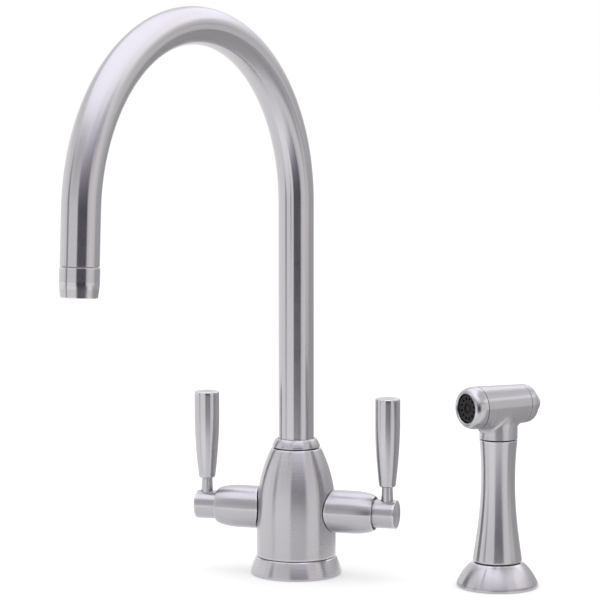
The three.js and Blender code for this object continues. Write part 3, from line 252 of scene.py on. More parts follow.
def turned(outline, place=None, sides=SIDES, shape=None):
    """Skin of an outline turned about Z, then put in its place.

    An outline that starts and ends on the axis is closed by it, and any other one is a ring.
    shape(radius, height, angle) may change the points before they are set.
    """
    closed = not (outline[0][0] == 0 and outline[-1][0] == 0)
    points = dense(softened(outline, closed), closed)
    ahead, behind = np.roll(points, -1, 0), np.roll(points, 1, 0)
    if not closed:
        ahead[-1], behind[0] = points[-1], points[0]
    way = (ahead - behind)[:, :2]
    way /= np.linalg.norm(way, axis=1)[:, None]
    along = np.concatenate([[0], np.cumsum(np.hypot(*np.diff(points[:, :2], axis=0).T))])
    angle = np.repeat(2 * np.pi * np.arange(sides)[None] / sides, len(points), 0)
    c, s = np.cos(angle), np.sin(angle)
    radius, height, out, up, along = (
        np.repeat(values[:, None], sides, 1)
        for values in (points[:, 0], points[:, 1], way[:, 0], way[:, 1], along)
    )
    if shape:
        radius, height = shape(radius, height, angle)
    places = np.stack([radius * c, radius * s, height], 2)
    grains = np.stack([out * c, out * s, up], 2)
    spots = np.stack([radius * c, radius * s, along], 2)
    skin = wrapped(places, grains, spots, points[:, 2], closed)
    return skin.moved(place) if place else skin


def swept(stations, radii, bore, place):
    """Tube along (centre, direction, distance) stations in the YZ plane, with a radius at each."""
    centres, ways, distances = (np.array(values, float) for values in zip(*stations))
    outside = np.arange(len(stations))
    order = np.concatenate([outside, outside[::-1]])
    radius = np.concatenate([radii, np.full(len(stations), bore)])[:, None]
    angle = 2 * np.pi * np.arange(SIDES)[None] / SIDES
    across, other = radius * np.cos(angle), radius * np.sin(angle)
    centre, way = centres[order][:, None], ways[order][:, None]
    side = np.array([1.0, 0, 0])
    places = centre + across[..., None] * side + other[..., None] * np.cross(way, side)
    grains = np.broadcast_to(way, places.shape)
    along = np.broadcast_to(distances[order][:, None], across.shape)
    spots = np.stack([across, other, along], 2)
    edges = (radius[:, 0] < TUBE_RADIUS - 0.1) & (radius[:, 0] > bore)
    return wrapped(places, grains, spots, edges.astype(float), True).moved(place)


def hexagon(apothem, within=math.inf):
    """Shape that cuts a turned outline to a hexagon, up to a radius."""

    def cut(radius, height, angle):
        from_flat = (angle + math.pi / 6) % (math.pi / 3) - math.pi / 6
        flat = np.minimum(radius, apothem / np.cos(from_flat))
        return np.where(radius < within, flat, radius), height

    return cut


def threaded(pitch, depth, bottom, top, outer):
    """Shape that cuts a thread into the outside of a turned outline, fading out at its ends."""

    def cut(radius, height, angle):
        turn = (height / pitch + angle / (2 * math.pi)) % 1
        fade = np.clip(np.minimum(height - bottom, top - height) / pitch, 0, 1)
        groove = depth * np.abs(2 * turn - 1) * fade
        return np.where(np.abs(radius - outer) < 0.01, radius - groove, radius), height

    return cut


def thread_outline(outer, bore, bottom, top, pitch):
    """Ring outline with the fine steps that a thread needs."""
    steps = math.ceil((top - bottom) / pitch * 6)
    side = [(outer, bottom + (top - bottom) * k / steps) for k in range(1, steps)]
    return [(bore, bottom, 0.3), (outer - 0.7, bottom), *side, (outer - 0.7, top), (bore, top, 0.3)]


# ---------------------------------------------------------------- materials

# Noise cells per millimetre, two numbers across a piece and one along it.
FINE_LINES = (0.06, 0.06, 4.6)
BROAD_LINES = (0.03, 0.03, 1.1)
STAINS = (0.055, 0.055, 0.05)
BLOTCHES = (0.12, 0.12, 0.12)
GRAIN = (2.2, 2.2, 2.2)

# The parts of a noise's range that are spread over a finish's own range.
NARROW = (0.35, 0.65)
WIDE = (0.3, 0.7)

# How far a finish strays from its colour and roughness. Depths are in metres.
FINE_SHARE = 0.85
LINE_TONE = 0.035
LINE_ROUGHNESS = 0.02
LINE_DEPTH = 0.01 * MM
LINE_BUMP = 0.02
STAIN_TONE = 0.015
STAIN_WARMTH = 0.008
STAIN_ROUGHNESS = 0.015
# Rounded edges get lower roughness and a lighter colour. The smoothing is wear; the lighter colour
# is partly wear and partly a painted highlight.
EDGE_WEAR_AND_HIGHLIGHT = (0.35, 1.0)
WEAR_AND_HIGHLIGHT_TONE = 1.2
WORN_SMOOTHING = 0.3
BLOTCH_SHARE = 0.6
GRAIN_ROUGHNESS = 0.06
GRAIN_DEPTH = 0.04 * MM
GRAIN_BUMP = 0.2
PLASTIC_SHEEN = 0.3


class Nodes:
    """A material's node tree, with short ways to add to it."""

    def __init__(self, name):
        self.material = bpy.data.materials.new(name)
        self.material.use_nodes = True
        self.tree = self.material.node_tree
        self.tree.nodes.clear()
        self.shader = self.add("ShaderNodeBsdfPrincipled")
        output = self.add("ShaderNodeOutputMaterial")
        self.link(self.shader.outputs[0], output.inputs["Surface"])

    def add(self, kind, **settings):
        node = self.tree.nodes.new(kind)
        for key, value in settings.items():
            setattr(node, key, value)
        return node

    def link(self, output, socket):
        self.tree.links.new(output, socket)

    def fill(self, socket, value):
        if isinstance(value, bpy.types.NodeSocket):
            self.link(value, socket)
        else:
            socket.default_value = value

    def attribute(self, name, output="Vector"):
        return self.add("ShaderNodeAttribute", attribute_name=name).outputs[output]

    def spot(self):
        """Coordinates of the finish on a piece made here, in millimetres."""
        return self.attribute("spot")

    def object_spot(self):
        """The same for a CAD node, whose mesh has no such attribute."""
        coordinates = self.add("ShaderNodeTexCoord").outputs["Object"]
        return self.scaled(coordinates, (1 / MM,) * 3)

    def scaled(self, vector, factors):
        node = self.add("ShaderNodeVectorMath", operation="MULTIPLY")
        self.link(vector, node.inputs[0])
        node.inputs[1].default_value = factors
        return node.outputs[0]

    def noise(self, vector, detail):
        node = self.add("ShaderNodeTexNoise")
        self.link(vector, node.inputs["Vector"])
        node.inputs["Scale"].default_value = 1.0
        node.inputs["Detail"].default_value = detail
        return node.outputs[0]

    def math(self, operation, first, second):
        node = self.add("ShaderNodeMath", operation=operation)
        self.fill(node.inputs[0], first)
        self.fill(node.inputs[1], second)
        return node.outputs[0]

    def blend(self, share, first, second):
        """Sum of two values, the first by its share and the second by what is left."""
        parts = self.math("MULTIPLY", first, share), self.math("MULTIPLY", second, 1 - share)
        return self.math("ADD", *parts)

    def ranged(self, value, low, high, to_low, to_high):
        node = self.add("ShaderNodeMapRange")
        values = (value, low, high, to_low, to_high)
        for name, given in zip(("Value", "From Min", "From Max", "To Min", "To Max"), values):
            self.fill(node.inputs[name], given)
        return node.outputs[0]

    def mix(self, share, first, second):
        node = self.add("ShaderNodeMix", data_type="RGBA")
        self.fill(node.inputs[0], share)
        self.fill(node.inputs[6], first)
        self.fill(node.inputs[7], second)
        return node.outputs[2]

    def bump(self, height, distance, strength):
        node = self.add("ShaderNodeBump")
        node.inputs["Distance"].default_value = distance
        node.inputs["Strength"].default_value = strength
        self.link(height, node.inputs["Height"])
        self.link(node.outputs[0], self.shader.inputs["Normal"])


def shaded(colour, factor, warmth=0.0):
    """A colour made lighter or darker, and warmer or colder."""
    red, green, blue = colour
    return (red * factor + warmth, green * factor, blue * factor - warmth, 1)


def brushed(name, colour, roughness, anisotropy, lines=1.0):
    """Metal with fine lines round each piece, faint stains, and smoother, lighter edges, the
    lightness partly wear and partly a painted highlight.

    lines says how strong the lines are.
    """
    n = Nodes(name)
    spot = n.spot()
    fine = n.noise(n.scaled(spot, FINE_LINES), 3)
    broad = n.noise(n.scaled(spot, BROAD_LINES), 2)
    stain = n.noise(n.scaled(spot, STAINS), 2)
    streak = n.blend(FINE_SHARE, fine, broad)
    tone = LINE_TONE * lines
    lined = n.mix(
        n.ranged(streak, *NARROW, 0, 1), shaded(colour, 1 - tone), shaded(colour, 1 + tone)
    )
    stained = n.mix(
        n.ranged(stain, *WIDE, 0, 1),
        shaded(colour, 1 - STAIN_TONE, -STAIN_WARMTH), shaded(colour, 1 + STAIN_TONE, STAIN_WARMTH),
    )
    even = n.mix(0.5, lined, stained)
    patchy = n.ranged(broad, 0.3, 0.6, *EDGE_WEAR_AND_HIGHLIGHT)
    edge_wear_and_highlight = n.math("MULTIPLY", n.attribute("edge", "Fac"), patchy)
    # Lighter colour on rounded edges: partly wear, partly a painted highlight.
    n.link(n.mix(edge_wear_and_highlight, even, shaded(colour, WEAR_AND_HIGHLIGHT_TONE)), n.shader.inputs["Base Color"])
    rubbed = n.ranged(stain, *WIDE, -STAIN_ROUGHNESS, STAIN_ROUGHNESS)
    spread = LINE_ROUGHNESS * lines
    ridged = n.ranged(streak, *WIDE, roughness - spread, roughness + spread)
    rough = n.math("ADD", ridged, rubbed)
    smooth = n.math("MULTIPLY", edge_wear_and_highlight, -WORN_SMOOTHING * roughness)
    n.link(n.math("ADD", rough, smooth), n.shader.inputs["Roughness"])
    n.bump(streak, LINE_DEPTH, LINE_BUMP * lines)
    n.shader.inputs["Metallic"].default_value = 1.0
    n.shader.inputs["Anisotropic"].default_value = anisotropy
    if anisotropy:
        world = n.add(
            "ShaderNodeVectorTransform",
            vector_type="VECTOR", convert_from="OBJECT", convert_to="WORLD",
        )
        n.link(n.attribute("grain"), world.inputs[0])
        n.link(world.outputs[0], n.shader.inputs["Tangent"])
    return n.material


def cast(name, colour, roughness, metallic, graininess, blotch, on_cad=False):
    """Plain machined or moulded stuff: blotches, a fine grain in colour, roughness and bump."""
    n = Nodes(name)
    spot = n.object_spot() if on_cad else n.spot()
    cloud = n.noise(n.scaled(spot, BLOTCHES), 3)
    grain = n.noise(n.scaled(spot, GRAIN), 3)
    mixed = n.blend(BLOTCH_SHARE, cloud, grain)
    tone = n.mix(
        n.ranged(mixed, *NARROW, 0, 1), shaded(colour, 1 - blotch), shaded(colour, 1 + blotch)
    )
    n.link(tone, n.shader.inputs["Base Color"])
    rough = n.ranged(mixed, *WIDE, roughness - GRAIN_ROUGHNESS, roughness + GRAIN_ROUGHNESS)
    n.link(rough, n.shader.inputs["Roughness"])
    n.bump(grain, GRAIN_DEPTH, GRAIN_BUMP * graininess)
    n.shader.inputs["Metallic"].default_value = metallic
    if not metallic:
        n.shader.inputs["Specular IOR Level"].default_value = PLASTIC_SHEEN
    return n.material


SATIN = (0.492, 0.478, 0.503)
GREY_STEEL = (0.50, 0.50, 0.51)
BRASS_YELLOW = (0.70, 0.53, 0.28)

# Colour, roughness, metallic, graininess and blotch of each slot, for cast().
STUFFS = {
    "rubber": ((0.03, 0.03, 0.032), 0.75, 0.0, 2.0, 0.12),
    "white_plastic": ((0.74, 0.74, 0.71), 0.42, 0.0, 1.0, 0.03),
    "black_plastic": ((0.012, 0.012, 0.014), 0.45, 0.0, 1.0, 0.12),
    "ceramic": ((0.82, 0.82, 0.78), 0.22, 0.0, 1.0, 0.02),
    "satin_steel": (SATIN, 0.3, 1.0, 1.0, 0.05),
    "plain_steel": (GREY_STEEL, 0.38, 1.0, 1.0, 0.08),
    "brass": (BRASS_YELLOW, 0.36, 1.0, 1.0, 0.08),
}
CAD_FINISHES = {slot: cast(f"{slot}_node", *stuff, on_cad=True) for slot, stuff in STUFFS.items()}

# By slot, and three that differ in gloss from their slot's: satin_tube on the spout and the grips,
# satin_arm on the arms and the lever hubs, and polished_steel on the nozzle's ring.
FINISHES = {
    "satin_steel": brushed("satin_steel", SATIN, 0.26, 0.95, lines=0.6),
    "satin_tube": brushed("satin_tube", SATIN, 0.20, 0.94, lines=0.6),
    "satin_arm": brushed("satin_arm", SATIN, 0.30, 0.96, lines=0.6),
    "polished_steel": brushed("polished_steel", SATIN, 0.24, 0.0, lines=0.4),
    "plain_steel": brushed("plain_steel", GREY_STEEL, 0.36, 0.3, lines=1.4),
    "brass": brushed("brass", BRASS_YELLOW, 0.3, 0.5),
    **{slot: cast(slot, *STUFFS[slot]) for slot in ("rubber", "white_plastic", "black_plastic")},
}


# ---------------------------------------------------------------- pieces


def piece(node, skin, finish=None, mesh=None):
    """Puts a skin in the scene in place of a CAD node, riding on that node's body.

    A mesh that was cut or remeshed from the skin takes each vertex's finish from the nearest one.
    """
    slot = SLOT_OF_NODE[node]
    near = slice(None)
    if mesh:
        tree = KDTree(len(skin.places))
        for i, place in enumerate(skin.places):
            tree.insert(Vector(place) * MM, i)
        tree.balance()
        near = [tree.find(vertex.co)[1] for vertex in mesh.vertices]
    mesh = mesh or skin.mesh("skin")
    mesh.name = f"{node}_skin"
    for key, kind, values in (
        ("grain", "FLOAT_VECTOR", skin.grains),
        ("spot", "FLOAT_VECTOR", skin.spots),
        ("edge", "FLOAT", skin.edges),
    ):
        layer = mesh.attributes.get(key) or mesh.attributes.new(key, kind, "POINT")
        flat = np.ascontiguousarray(values[near], np.float32).ravel()
        layer.data.foreach_set("vector" if kind == "FLOAT_VECTOR" else "value", flat)
    mesh.shade_smooth()
    mesh.set_sharp_from_angle(angle=SHARP)
    mesh.materials.clear()
    mesh.materials.append(FINISHES[finish or slot])
    made = linked(mesh.name, mesh)
    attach(made, frame["nodes"][node]["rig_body"])
    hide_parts(node)


def linked(name, data):
    made = bpy.data.objects.new(name, data)
    bpy.context.scene.collection.objects.link(made)
    return made


def drilled(mesh, *tools):
    """A mesh with other skins cut out of it."""
    whole = linked("whole", mesh)
    cutters = []
    for tool in tools:
        cutter = linked("cutter", tool.mesh("cutter"))
        change = whole.modifiers.new("cut", "BOOLEAN")
        change.operation = "DIFFERENCE"
        change.solver = "EXACT"
        change.object = cutter
        cutters.append(cutter)
    graph = bpy.context.evaluated_depsgraph_get()
    made = bpy.data.meshes.new_from_object(whole.evaluated_get(graph))
    for thing in (whole, *cutters):
        bpy.data.objects.remove(thing)
    return made


def rod(radius, bottom, top, place=None, sides=32):
    return turned([(0, bottom), (radius, bottom), (radius, top), (0, top)], place, sides)


def rods(count, circle, radius, bottom, top, place, sides, shift=0.0):
    """Rods evenly spaced on a circle. shift moves them on by a share of their spacing."""
    made = []
    for k in range(count):
        angle = 2 * math.pi * (k + shift) / count
        at = Matrix.Translation((circle * math.cos(angle), circle * math.sin(angle), 0))
        made.append(rod(radius, bottom, top, place @ at, sides))
    return made


def vertex_places(mesh):
    """A mesh's vertices, in millimetres."""
    places = np.empty(len(mesh.vertices) * 3)
    mesh.vertices.foreach_get("co", places)
    return places.reshape(-1, 3) / MM


def together(skins):
    """Several skins that don't touch, as one."""
    parts = [np.concatenate([getattr(skin, key) for skin in skins])
             for key in ("places", "grains", "spots", "edges")]
    faces, start = [], 0
    for skin in skins:
        faces += [tuple(i + start for i in face) for face in skin.faces]
        start += len(skin.places)
    return Skin(*parts, faces)


# ---------------------------------------------------------------- body on the deck


def bell_side():
    """Outline of the bell's side from its foot to its top edge."""
    low, high = extent("body_shell")
    foot, top, shoulder = high.x, 17.6, 26.0
    curve = bezier((foot, shoulder), (foot, 44.96), (29.79, 64.89), (top, high.z), 40)
    return low.z, foot, curve, (top, high.z)


def bell_radius(height):
    _, foot, curve, top = bell_side()
    points = [(foot, 0.0), *curve, top]
    return np.interp(height, [p[1] for p in points], [p[0] for p in points])


def body_shell():
    bottom, foot, curve, (top, height) = bell_side()
    wall = 1.7
    inside = [(r - wall, z) for r, z in reversed(curve)]
    piece("body_shell", turned([
        (foot - wall, bottom, 0.3), (foot, bottom, 0.45), *curve, (top, height, 0.55),
        (top - wall, height, 0.4), *inside,
    ]))


def base_flange():
    high = extent("base_flange")[1]
    rim, neck, spigot, bore = high.x, 28.6, 25.95, 24
    top, brow = 13.0, 12.4
    piece("base_flange", turned([
        (bore, 0.3), (rim - 0.5, 0, 0.4), (rim, 0.6, 0.5),
        *bezier((rim, 1.5), (rim - 0.4, 4.55), (neck + 1, 10.4), (neck, brow), 16),
        (neck, brow, 0.4), (neck - 0.9, top, 0.4), (spigot, top), (spigot, high.z), (bore, high.z),
    ]))
    gasket("deck_gasket")


def gasket(node, x=0):
    low, high = extent(node)
    outer = high.x - x
    inner = outer * GASKET_BORE
    piece(node, turned([
        (inner, low.z, 0.2), (outer, low.z, 0.3), (outer, high.z, 0.3), (inner, high.z, 0.2),
    ], Matrix.Translation((x, 0, 0))))


def spout_collar():
    low, high = extent("spout_collar")
    bore, mouth, spigot, outer = 12.8, 13.6, 14, high.x
    bottom, brow = 90.6, (15.3, 95.2)
    piece("spout_collar", turned([
        (bore, low.z), (spigot, low.z), (spigot, bottom), (outer - 0.4, bottom, 0.2),
        (outer, bottom + 0.4, 0.3),
        *bezier((outer - 0.02, bottom + 0.8), (outer - 0.3, 92.6), (outer - 1.0, 94.2), brow, 8),
        *bezier(brow, (14.9, 96.0), (14.2, 96.7), (mouth, high.z), 5),
        (mouth, high.z, 0.3), (bore, high.z, 0.2),
    ]))


# ---------------------------------------------------------------- spout


def spout_stations():
    """Stations of the spout's centre line, from the body up and over to its seam near the tip."""
    bottom = extent("spout_tube")[0].z
    riser_steps, bend_steps, tip_steps = 60, 150, 15
    stations = []
    for k in range(riser_steps + 1):
        z = bottom + (RISER_TOP - bottom) * k / riser_steps
        stations.append((Vector((0, 0, z)), Vector((0, 0, 1)), z - bottom))
    distance = RISER_TOP - bottom
    for k in range(1, bend_steps + 1):
        angle = BEND_SWEEP * k / bend_steps
        reach, rise = BEND_RADIUS * (1 - math.cos(angle)), BEND_RADIUS * math.sin(angle)
        centre = Vector((0, -reach, RISER_TOP + rise))
        direction = Vector((0, -math.sin(angle), math.cos(angle)))
        stations.append((centre, direction, distance + BEND_RADIUS * angle))
    corner, direction, distance = stations[-1]
    length = TIP_LENGTH - AERATOR_LENGTH - TUBE_SEAM
    for step in [*np.linspace(0, length - TUBE_EASE[1], tip_steps + 1)[1:], length]:
        stations.append((corner + direction * step, direction, distance + step))
    return stations


def tip_place():
    """The spout's mouth: local Z runs up into the tube."""
    sine, cosine = math.sin(BEND_SWEEP), math.cos(BEND_SWEEP)
    reach = BEND_RADIUS * (1 - cosine) + TIP_LENGTH * sine
    height = RISER_TOP + BEND_RADIUS * sine + TIP_LENGTH * cosine
    lean = Matrix.Rotation(BEND_SWEEP - math.pi, 4, "X")
    return SPOUT_TURN @ Matrix.Translation((0, -reach, height)) @ lean


def spout():
    stations = spout_stations()
    radii = np.full(len(stations), TUBE_RADIUS - TUBE_INSET)
    radii[-1] -= TUBE_EASE[0]
    piece("spout_tube", swept(stations, radii, TUBE_RADIUS - TUBE_WALL, SPOUT_TURN), "satin_tube")
    place = tip_place()
    outer, foot, bore, spigot, neck = 12.8, 11.85, 10.2, 8.2, 6.7
    bore_top, spigot_top = 15.1, 25
    piece("aerator_housing", turned([
        (bore, 0.3, 0.2), (bore + 0.5, 0, 0.2), (foot, 0, 0.7), (foot + 0.12, 1.2),
        (outer, 8, 1.5), (outer, AERATOR_LENGTH, 0.3), (spigot, AERATOR_LENGTH),
        (spigot, spigot_top), (neck, spigot_top), (neck, bore_top), (bore, bore_top),
    ], place), "satin_tube")
    outer, rim, face, top = 9.9, 1.6, 2.6, 11
    insert = turned([
        (0, face), (8.6, face, 0.3), (8.9, rim, 0.2), (outer, rim, 0.2), (outer, top), (0, top),
    ], place)
    holes = []
    for circle, count in ((0, 1), (2.6, 6), (5.1, 12), (7.4, 18)):
        holes += rods(count, circle, 0.95, 1, 7, place, sides=12)
    piece("aerator_insert", insert, mesh=drilled(insert.mesh("insert"), together(holes)))


# ---------------------------------------------------------------- arms and levers


def arm(name, turn, height):
    """Local Z runs outwards along an arm, and local X points down."""
    place = Matrix.Translation((0, 0, height)) @ Matrix.Rotation(turn, 4, "Z")
    place = place @ Matrix.Rotation(math.pi / 2, 4, "Y")
    end = extent("cold_arm")[1].x
    lip_start = end - 0.35

    def seated(radius, along, angle):
        """Moves the arm's root out to the bell, fading out along the arm."""
        bell = bell_radius(height - radius * np.cos(angle)) + ARM_SEAM
        start = np.sqrt(bell**2 - (radius * np.sin(angle)) ** 2)
        share = np.clip((ARM_SHOULDER_START - along) / (ARM_SHOULDER_START - ARM_ROOT), 0, 1)
        return radius, along + (start - ARM_ROOT) * share

    piece(f"{name}_arm", turned([
        (ARM_MOUTH, ARM_ROOT, 0.3), (ARM_RADIUS, ARM_ROOT, 0.55),
        *bezier((ARM_RADIUS, ARM_SHOULDER_START), (ARM_RADIUS, 47.5), (14.2, 54),
                (ARM_LIP, lip_start), 18),
        (ARM_LIP, lip_start, 0.3), (ARM_LIP - 0.35, end, 0.3), (ARM_MOUTH, end, 0.35),
    ], place, shape=seated), "satin_arm")
    return place


def lever(name, turn, height, place):
    """The hub lies along the arm's axis, and the stem and grip stand on it."""
    high = extent("cold_lever_hub")[1]
    radius, end = high.z - height, high.x
    socket, socket_end = HUB_SOCKET
    hub = turned([
        (0, socket_end), (socket, socket_end), (socket, HUB_START, 0.2), (radius, HUB_START, 0.5),
        (radius, end, 0.6), (0, end),
    ], place)
    stem_x = sum(c.x for c in extent("cold_lever_stem")) / 2
    upright = Matrix.Translation((0, 0, height)) @ Matrix.Rotation(turn, 4, "Z")
    upright = upright @ Matrix.Translation((stem_x, 0, 0))
    crosswise = Matrix.Rotation(math.pi / 2, 4, "Y")
    downward = place @ Matrix.Translation((0, 0, SCREW_PLACE)) @ crosswise
    stem_hole, screw_hole, outside = 4.5, 2.3, 14
    holes = [rod(stem_hole, 3, outside, upright), rod(screw_hole, 4, outside, downward)]
    piece(f"{name}_lever_hub", hub, "satin_arm", drilled(hub.mesh("hub"), together(holes)))
    screw, screw_start, screw_end = 2, 4.5, 9.3
    piece(f"{name}_set_screw", turned([
        (0, screw_start), (screw, screw_start, 0.3), (screw, screw_end, 0.3),
        (1.15, screw_end, 0.1), (1.1, 7.6), (0, 7.4),
    ], downward, THREAD_SIDES, hexagon(0.95, within=1.2)))
    stem, stem_start, pin, pin_end = 4.2, 3.2, 3.8, 30
    piece(f"{name}_lever_stem", turned([
        (0, stem_start), (stem, stem_start), (stem, 9.6), (4.15, 11.5), (pin, 20), (pin, pin_end),
        (0, pin_end),
    ], upright))
    start, straight_start, top = 19.4, 66.2, extent("cold_lever_grip")[1].z - height
    bore, bore_end, foot, full = 4.1, start + 17.3, 5.9, 8.9
    piece(f"{name}_lever_grip", turned([
        (0, bore_end), (bore, bore_end), (bore, start, 0.2), (foot - 0.8, start, 0.2),
        (foot, start + 0.9, 0.3),
        *bezier((foot + 0.02, start + 1.3), (foot + 1.3, start + 11.8), (full, 47.2),
                (full, straight_start), 30),
        (full, straight_start), (full, top - 2.4), (full - 0.05, top, 1.1), (0, top),
    ], upright), "satin_tube")


# ---------------------------------------------------------------- side spray


def spray_place():
    low, high = extent("holder_flange")
    return Matrix.Translation(((low.x + high.x) / 2, 0, 0))


def holder():
    place = spray_place()
    low, high = extent("holder_flange")
    rim, top, lip = (high.x - low.x) / 2, high.z, 17.8
    bore, recess, recess_top = 14.6, 16, 9
    piece("holder_flange", turned([
        (recess, 0.4), (rim - 0.6, 0, 0.4), (rim, 0.7, 0.6),
        *bezier((rim, 1.6), (26.25, 6.95), (22.03, 13.64), (lip + 0.25, top - 0.75), 24),
        (lip + 0.25, top - 0.75, 0.3), (lip - 0.5, top - 0.1, 0.4), (lip - 1.2, top, 0.3),
        (bore, top, 0.2), (bore, recess_top), (recess, recess_top),
    ], place))
    gasket("holder_gasket", place.translation.x)
    low, high = extent("holder_bush")
    bore, stem, head, head_start = 10.7, 12.2, 14, 9.1
    piece("holder_bush", turned([
        (bore, low.z, 0.3), (stem, low.z, 0.3), (stem, head_start), (head, head_start, 0.2),
        (head, high.z, 0.4), (bore, high.z, 0.8),
    ], place))


def spray_grip():
    low, high = extent("spray_grip")
    foot, waist, neck = 16.9, 11.75, NECK_RADIUS
    bore, socket, socket_top = 8.5, 10.1, 29
    narrowest, neck_top = (waist, 76), high.z - 0.3
    piece("spray_grip", turned([
        (socket, low.z, 0.2), (foot - 0.9, low.z, 0.5), (foot, low.z + 0.9, 0.7),
        *bezier((foot - 0.05, low.z + 1.6), (foot - 1.3, 29), (waist - 0.15, 50), narrowest, 40),
        *bezier(narrowest, (waist, 85), (waist + 0.5, 94), (neck, neck_top), 20),
        (neck, neck_top, 0.3), (neck - 0.5, high.z, 0.25), (bore, high.z), (bore, socket_top),
        (socket, socket_top),
    ], spray_place()), "satin_tube")


def hose_end():
    place = spray_place()
    low, high = extent("grip_nut")
    outer = (high.x - low.x) / 2
    bore, spigot, shoulder = 5.9, 9.8, 17.0
    ribs, rib_height, rib_sides = 48, 0.25, 4
    knurl = [(outer, low.z + 1.2 + k * 0.5) for k in range(16)]

    def knurled(radius, height, angle):
        ribbed = (np.abs(radius - outer) < 0.01) & (height > low.z + 1) & (height < low.z + 9)
        return radius - np.where(ribbed, rib_height * np.abs(np.sin(ribs / 2 * angle)), 0), height

    piece("grip_nut", turned([
        (bore, low.z, 0.4), (outer - 0.5, low.z, 0.3), (outer, low.z + 0.6, 0.3), *knurl,
        (outer, shoulder, 0.3), (spigot, shoulder), (spigot, high.z), (bore, high.z),
    ], place, ribs * rib_sides, knurled))
    low, high = extent("hose_connector")
    bottom, top = low.z, high.z
    thread_top, flange_bottom = bottom + 11, top - 2.3
    outer, bore, flange, pitch, depth = 5.6, 3.5, 8, 1.2, 0.5
    line = thread_outline(outer, bore, bottom, thread_top, pitch)[1:-2]
    piece("hose_connector", turned([
        (bore, bottom, 0.3), *line, (outer, thread_top + 0.5), (outer, flange_bottom),
        (flange, flange_bottom, 0.2), (flange, top, 0.2), (bore, top, 0.3),
    ], place, shape=threaded(pitch, depth, bottom + 0.5, thread_top - 0.5, outer)))


def head_place():
    """The head's axis: local Z runs towards the nozzle, local Y is up."""
    turn = Matrix.Rotation(-HEAD_TURN, 4, "Z")
    lift = Matrix.Translation((spray_place().translation.x, 0, HEAD_HEIGHT))
    return lift @ turn @ Matrix.Rotation(math.pi / 2, 4, "X")


def barrel_radius(along):
    share = (along - HEAD_REAR) / (HEAD_FRONT - HEAD_REAR)
    return HEAD_REAR_RADIUS + (HEAD_FRONT_RADIUS - HEAD_REAR_RADIUS) * share


def head_field(points):
    """Signed distance to the tee of barrel and neck, with its fillet, at local points."""
    x, y, z = points.T
    far = 50
    barrel = np.hypot(x, y) - barrel_radius(z)
    neck = np.where(y < 0, np.hypot(x, z) - NECK_RADIUS, far)
    ahead = np.clip(z / NECK_RADIUS, -1, 1)
    fillet = np.where(ahead > 0, FILLET_FRONT, FILLET_REAR) * ahead**2 + FILLET_LEAST
    inner = np.hypot(np.maximum(fillet - barrel, 0), np.maximum(fillet - neck, 0))
    return np.maximum(fillet, np.minimum(barrel, neck)) - inner


def head_form():
    """Mesh of the tee: barrel and neck are remeshed as one, pulled onto the form and cut square."""
    spare = 2.0
    start_barrel, start_neck = 13.4, 12.8
    rounds, nudge, share, least_slope = 10, 0.01, 0.85, 0.2
    sideways = Matrix.Rotation(-math.pi / 2, 4, "X")
    barrel = rod(start_barrel, HEAD_REAR - spare, HEAD_FRONT + spare, sides=SIDES)
    neck = rod(start_neck, NECK_DROP - spare, 0, sideways, SIDES)
    rough = linked("rough", together([barrel, neck]).mesh("rough"))
    change = rough.modifiers.new("whole", "REMESH")
    change.mode = "VOXEL"
    change.voxel_size = HEAD_VOXEL * MM
    graph = bpy.context.evaluated_depsgraph_get()
    mesh = bpy.data.meshes.new_from_object(rough.evaluated_get(graph))
    bpy.data.objects.remove(rough)
    places = vertex_places(mesh)
    for _ in range(rounds):
        value = head_field(places)
        slope = np.stack([
            (head_field(places + step) - head_field(places - step)) / (2 * nudge)
            for step in np.eye(3) * nudge
        ], 1)
        size = np.maximum((slope**2).sum(1), least_slope)
        places -= slope * (value / size)[:, None] * share
    mesh.vertices.foreach_set("co", (places * MM).ravel())
    form = bmesh.new()
    form.from_mesh(mesh)
    cuts = (
        ((0, 0, HEAD_FRONT), (0, 0, 1)),
        ((0, 0, HEAD_REAR), (0, 0, -1)),
        ((0, NECK_DROP, 0), (0, -1, 0)),
    )
    for at, normal in cuts:
        everything = [*form.verts, *form.edges, *form.faces]
        cut = bmesh.ops.bisect_plane(
            form, geom=everything, plane_co=Vector(at) * MM, plane_no=normal, clear_outer=True
        )
        loop = [e for e in cut["geom_cut"] if isinstance(e, bmesh.types.BMEdge)]
        bmesh.ops.contextual_create(form, geom=loop)
    bmesh.ops.recalc_face_normals(form, faces=form.faces)
    form.to_mesh(mesh)
    form.free()
    bore = rod(HEAD_BORE, HEAD_REAR - spare, HEAD_FRONT + spare, sides=SIDES)
    return drilled(mesh, bore, rod(NECK_BORE, NECK_DROP - spare, 0, sideways, SIDES))


def spray_head():
    """The brush lines run round the barrel, and below it they turn to run round the neck."""
    turn_start, turn_end = -10, -16
    mesh = head_form()
    places = vertex_places(mesh)
    x, y, z = places.T
    low = np.clip((y - turn_start) / (turn_end - turn_start), 0, 1)
    grains = np.stack([0 * low, -low, np.where(z > 0, 1, -1) * (1 - low)], 1)
    spots = np.stack([x, y + (z - y) * low, z + (y - z) * low], 1)
    skin = Skin(places, grains, spots, np.zeros(len(places)), []).moved(head_place())
    mesh.vertices.foreach_set("co", (skin.places * MM).ravel())
    piece("spray_head", skin, mesh=mesh)


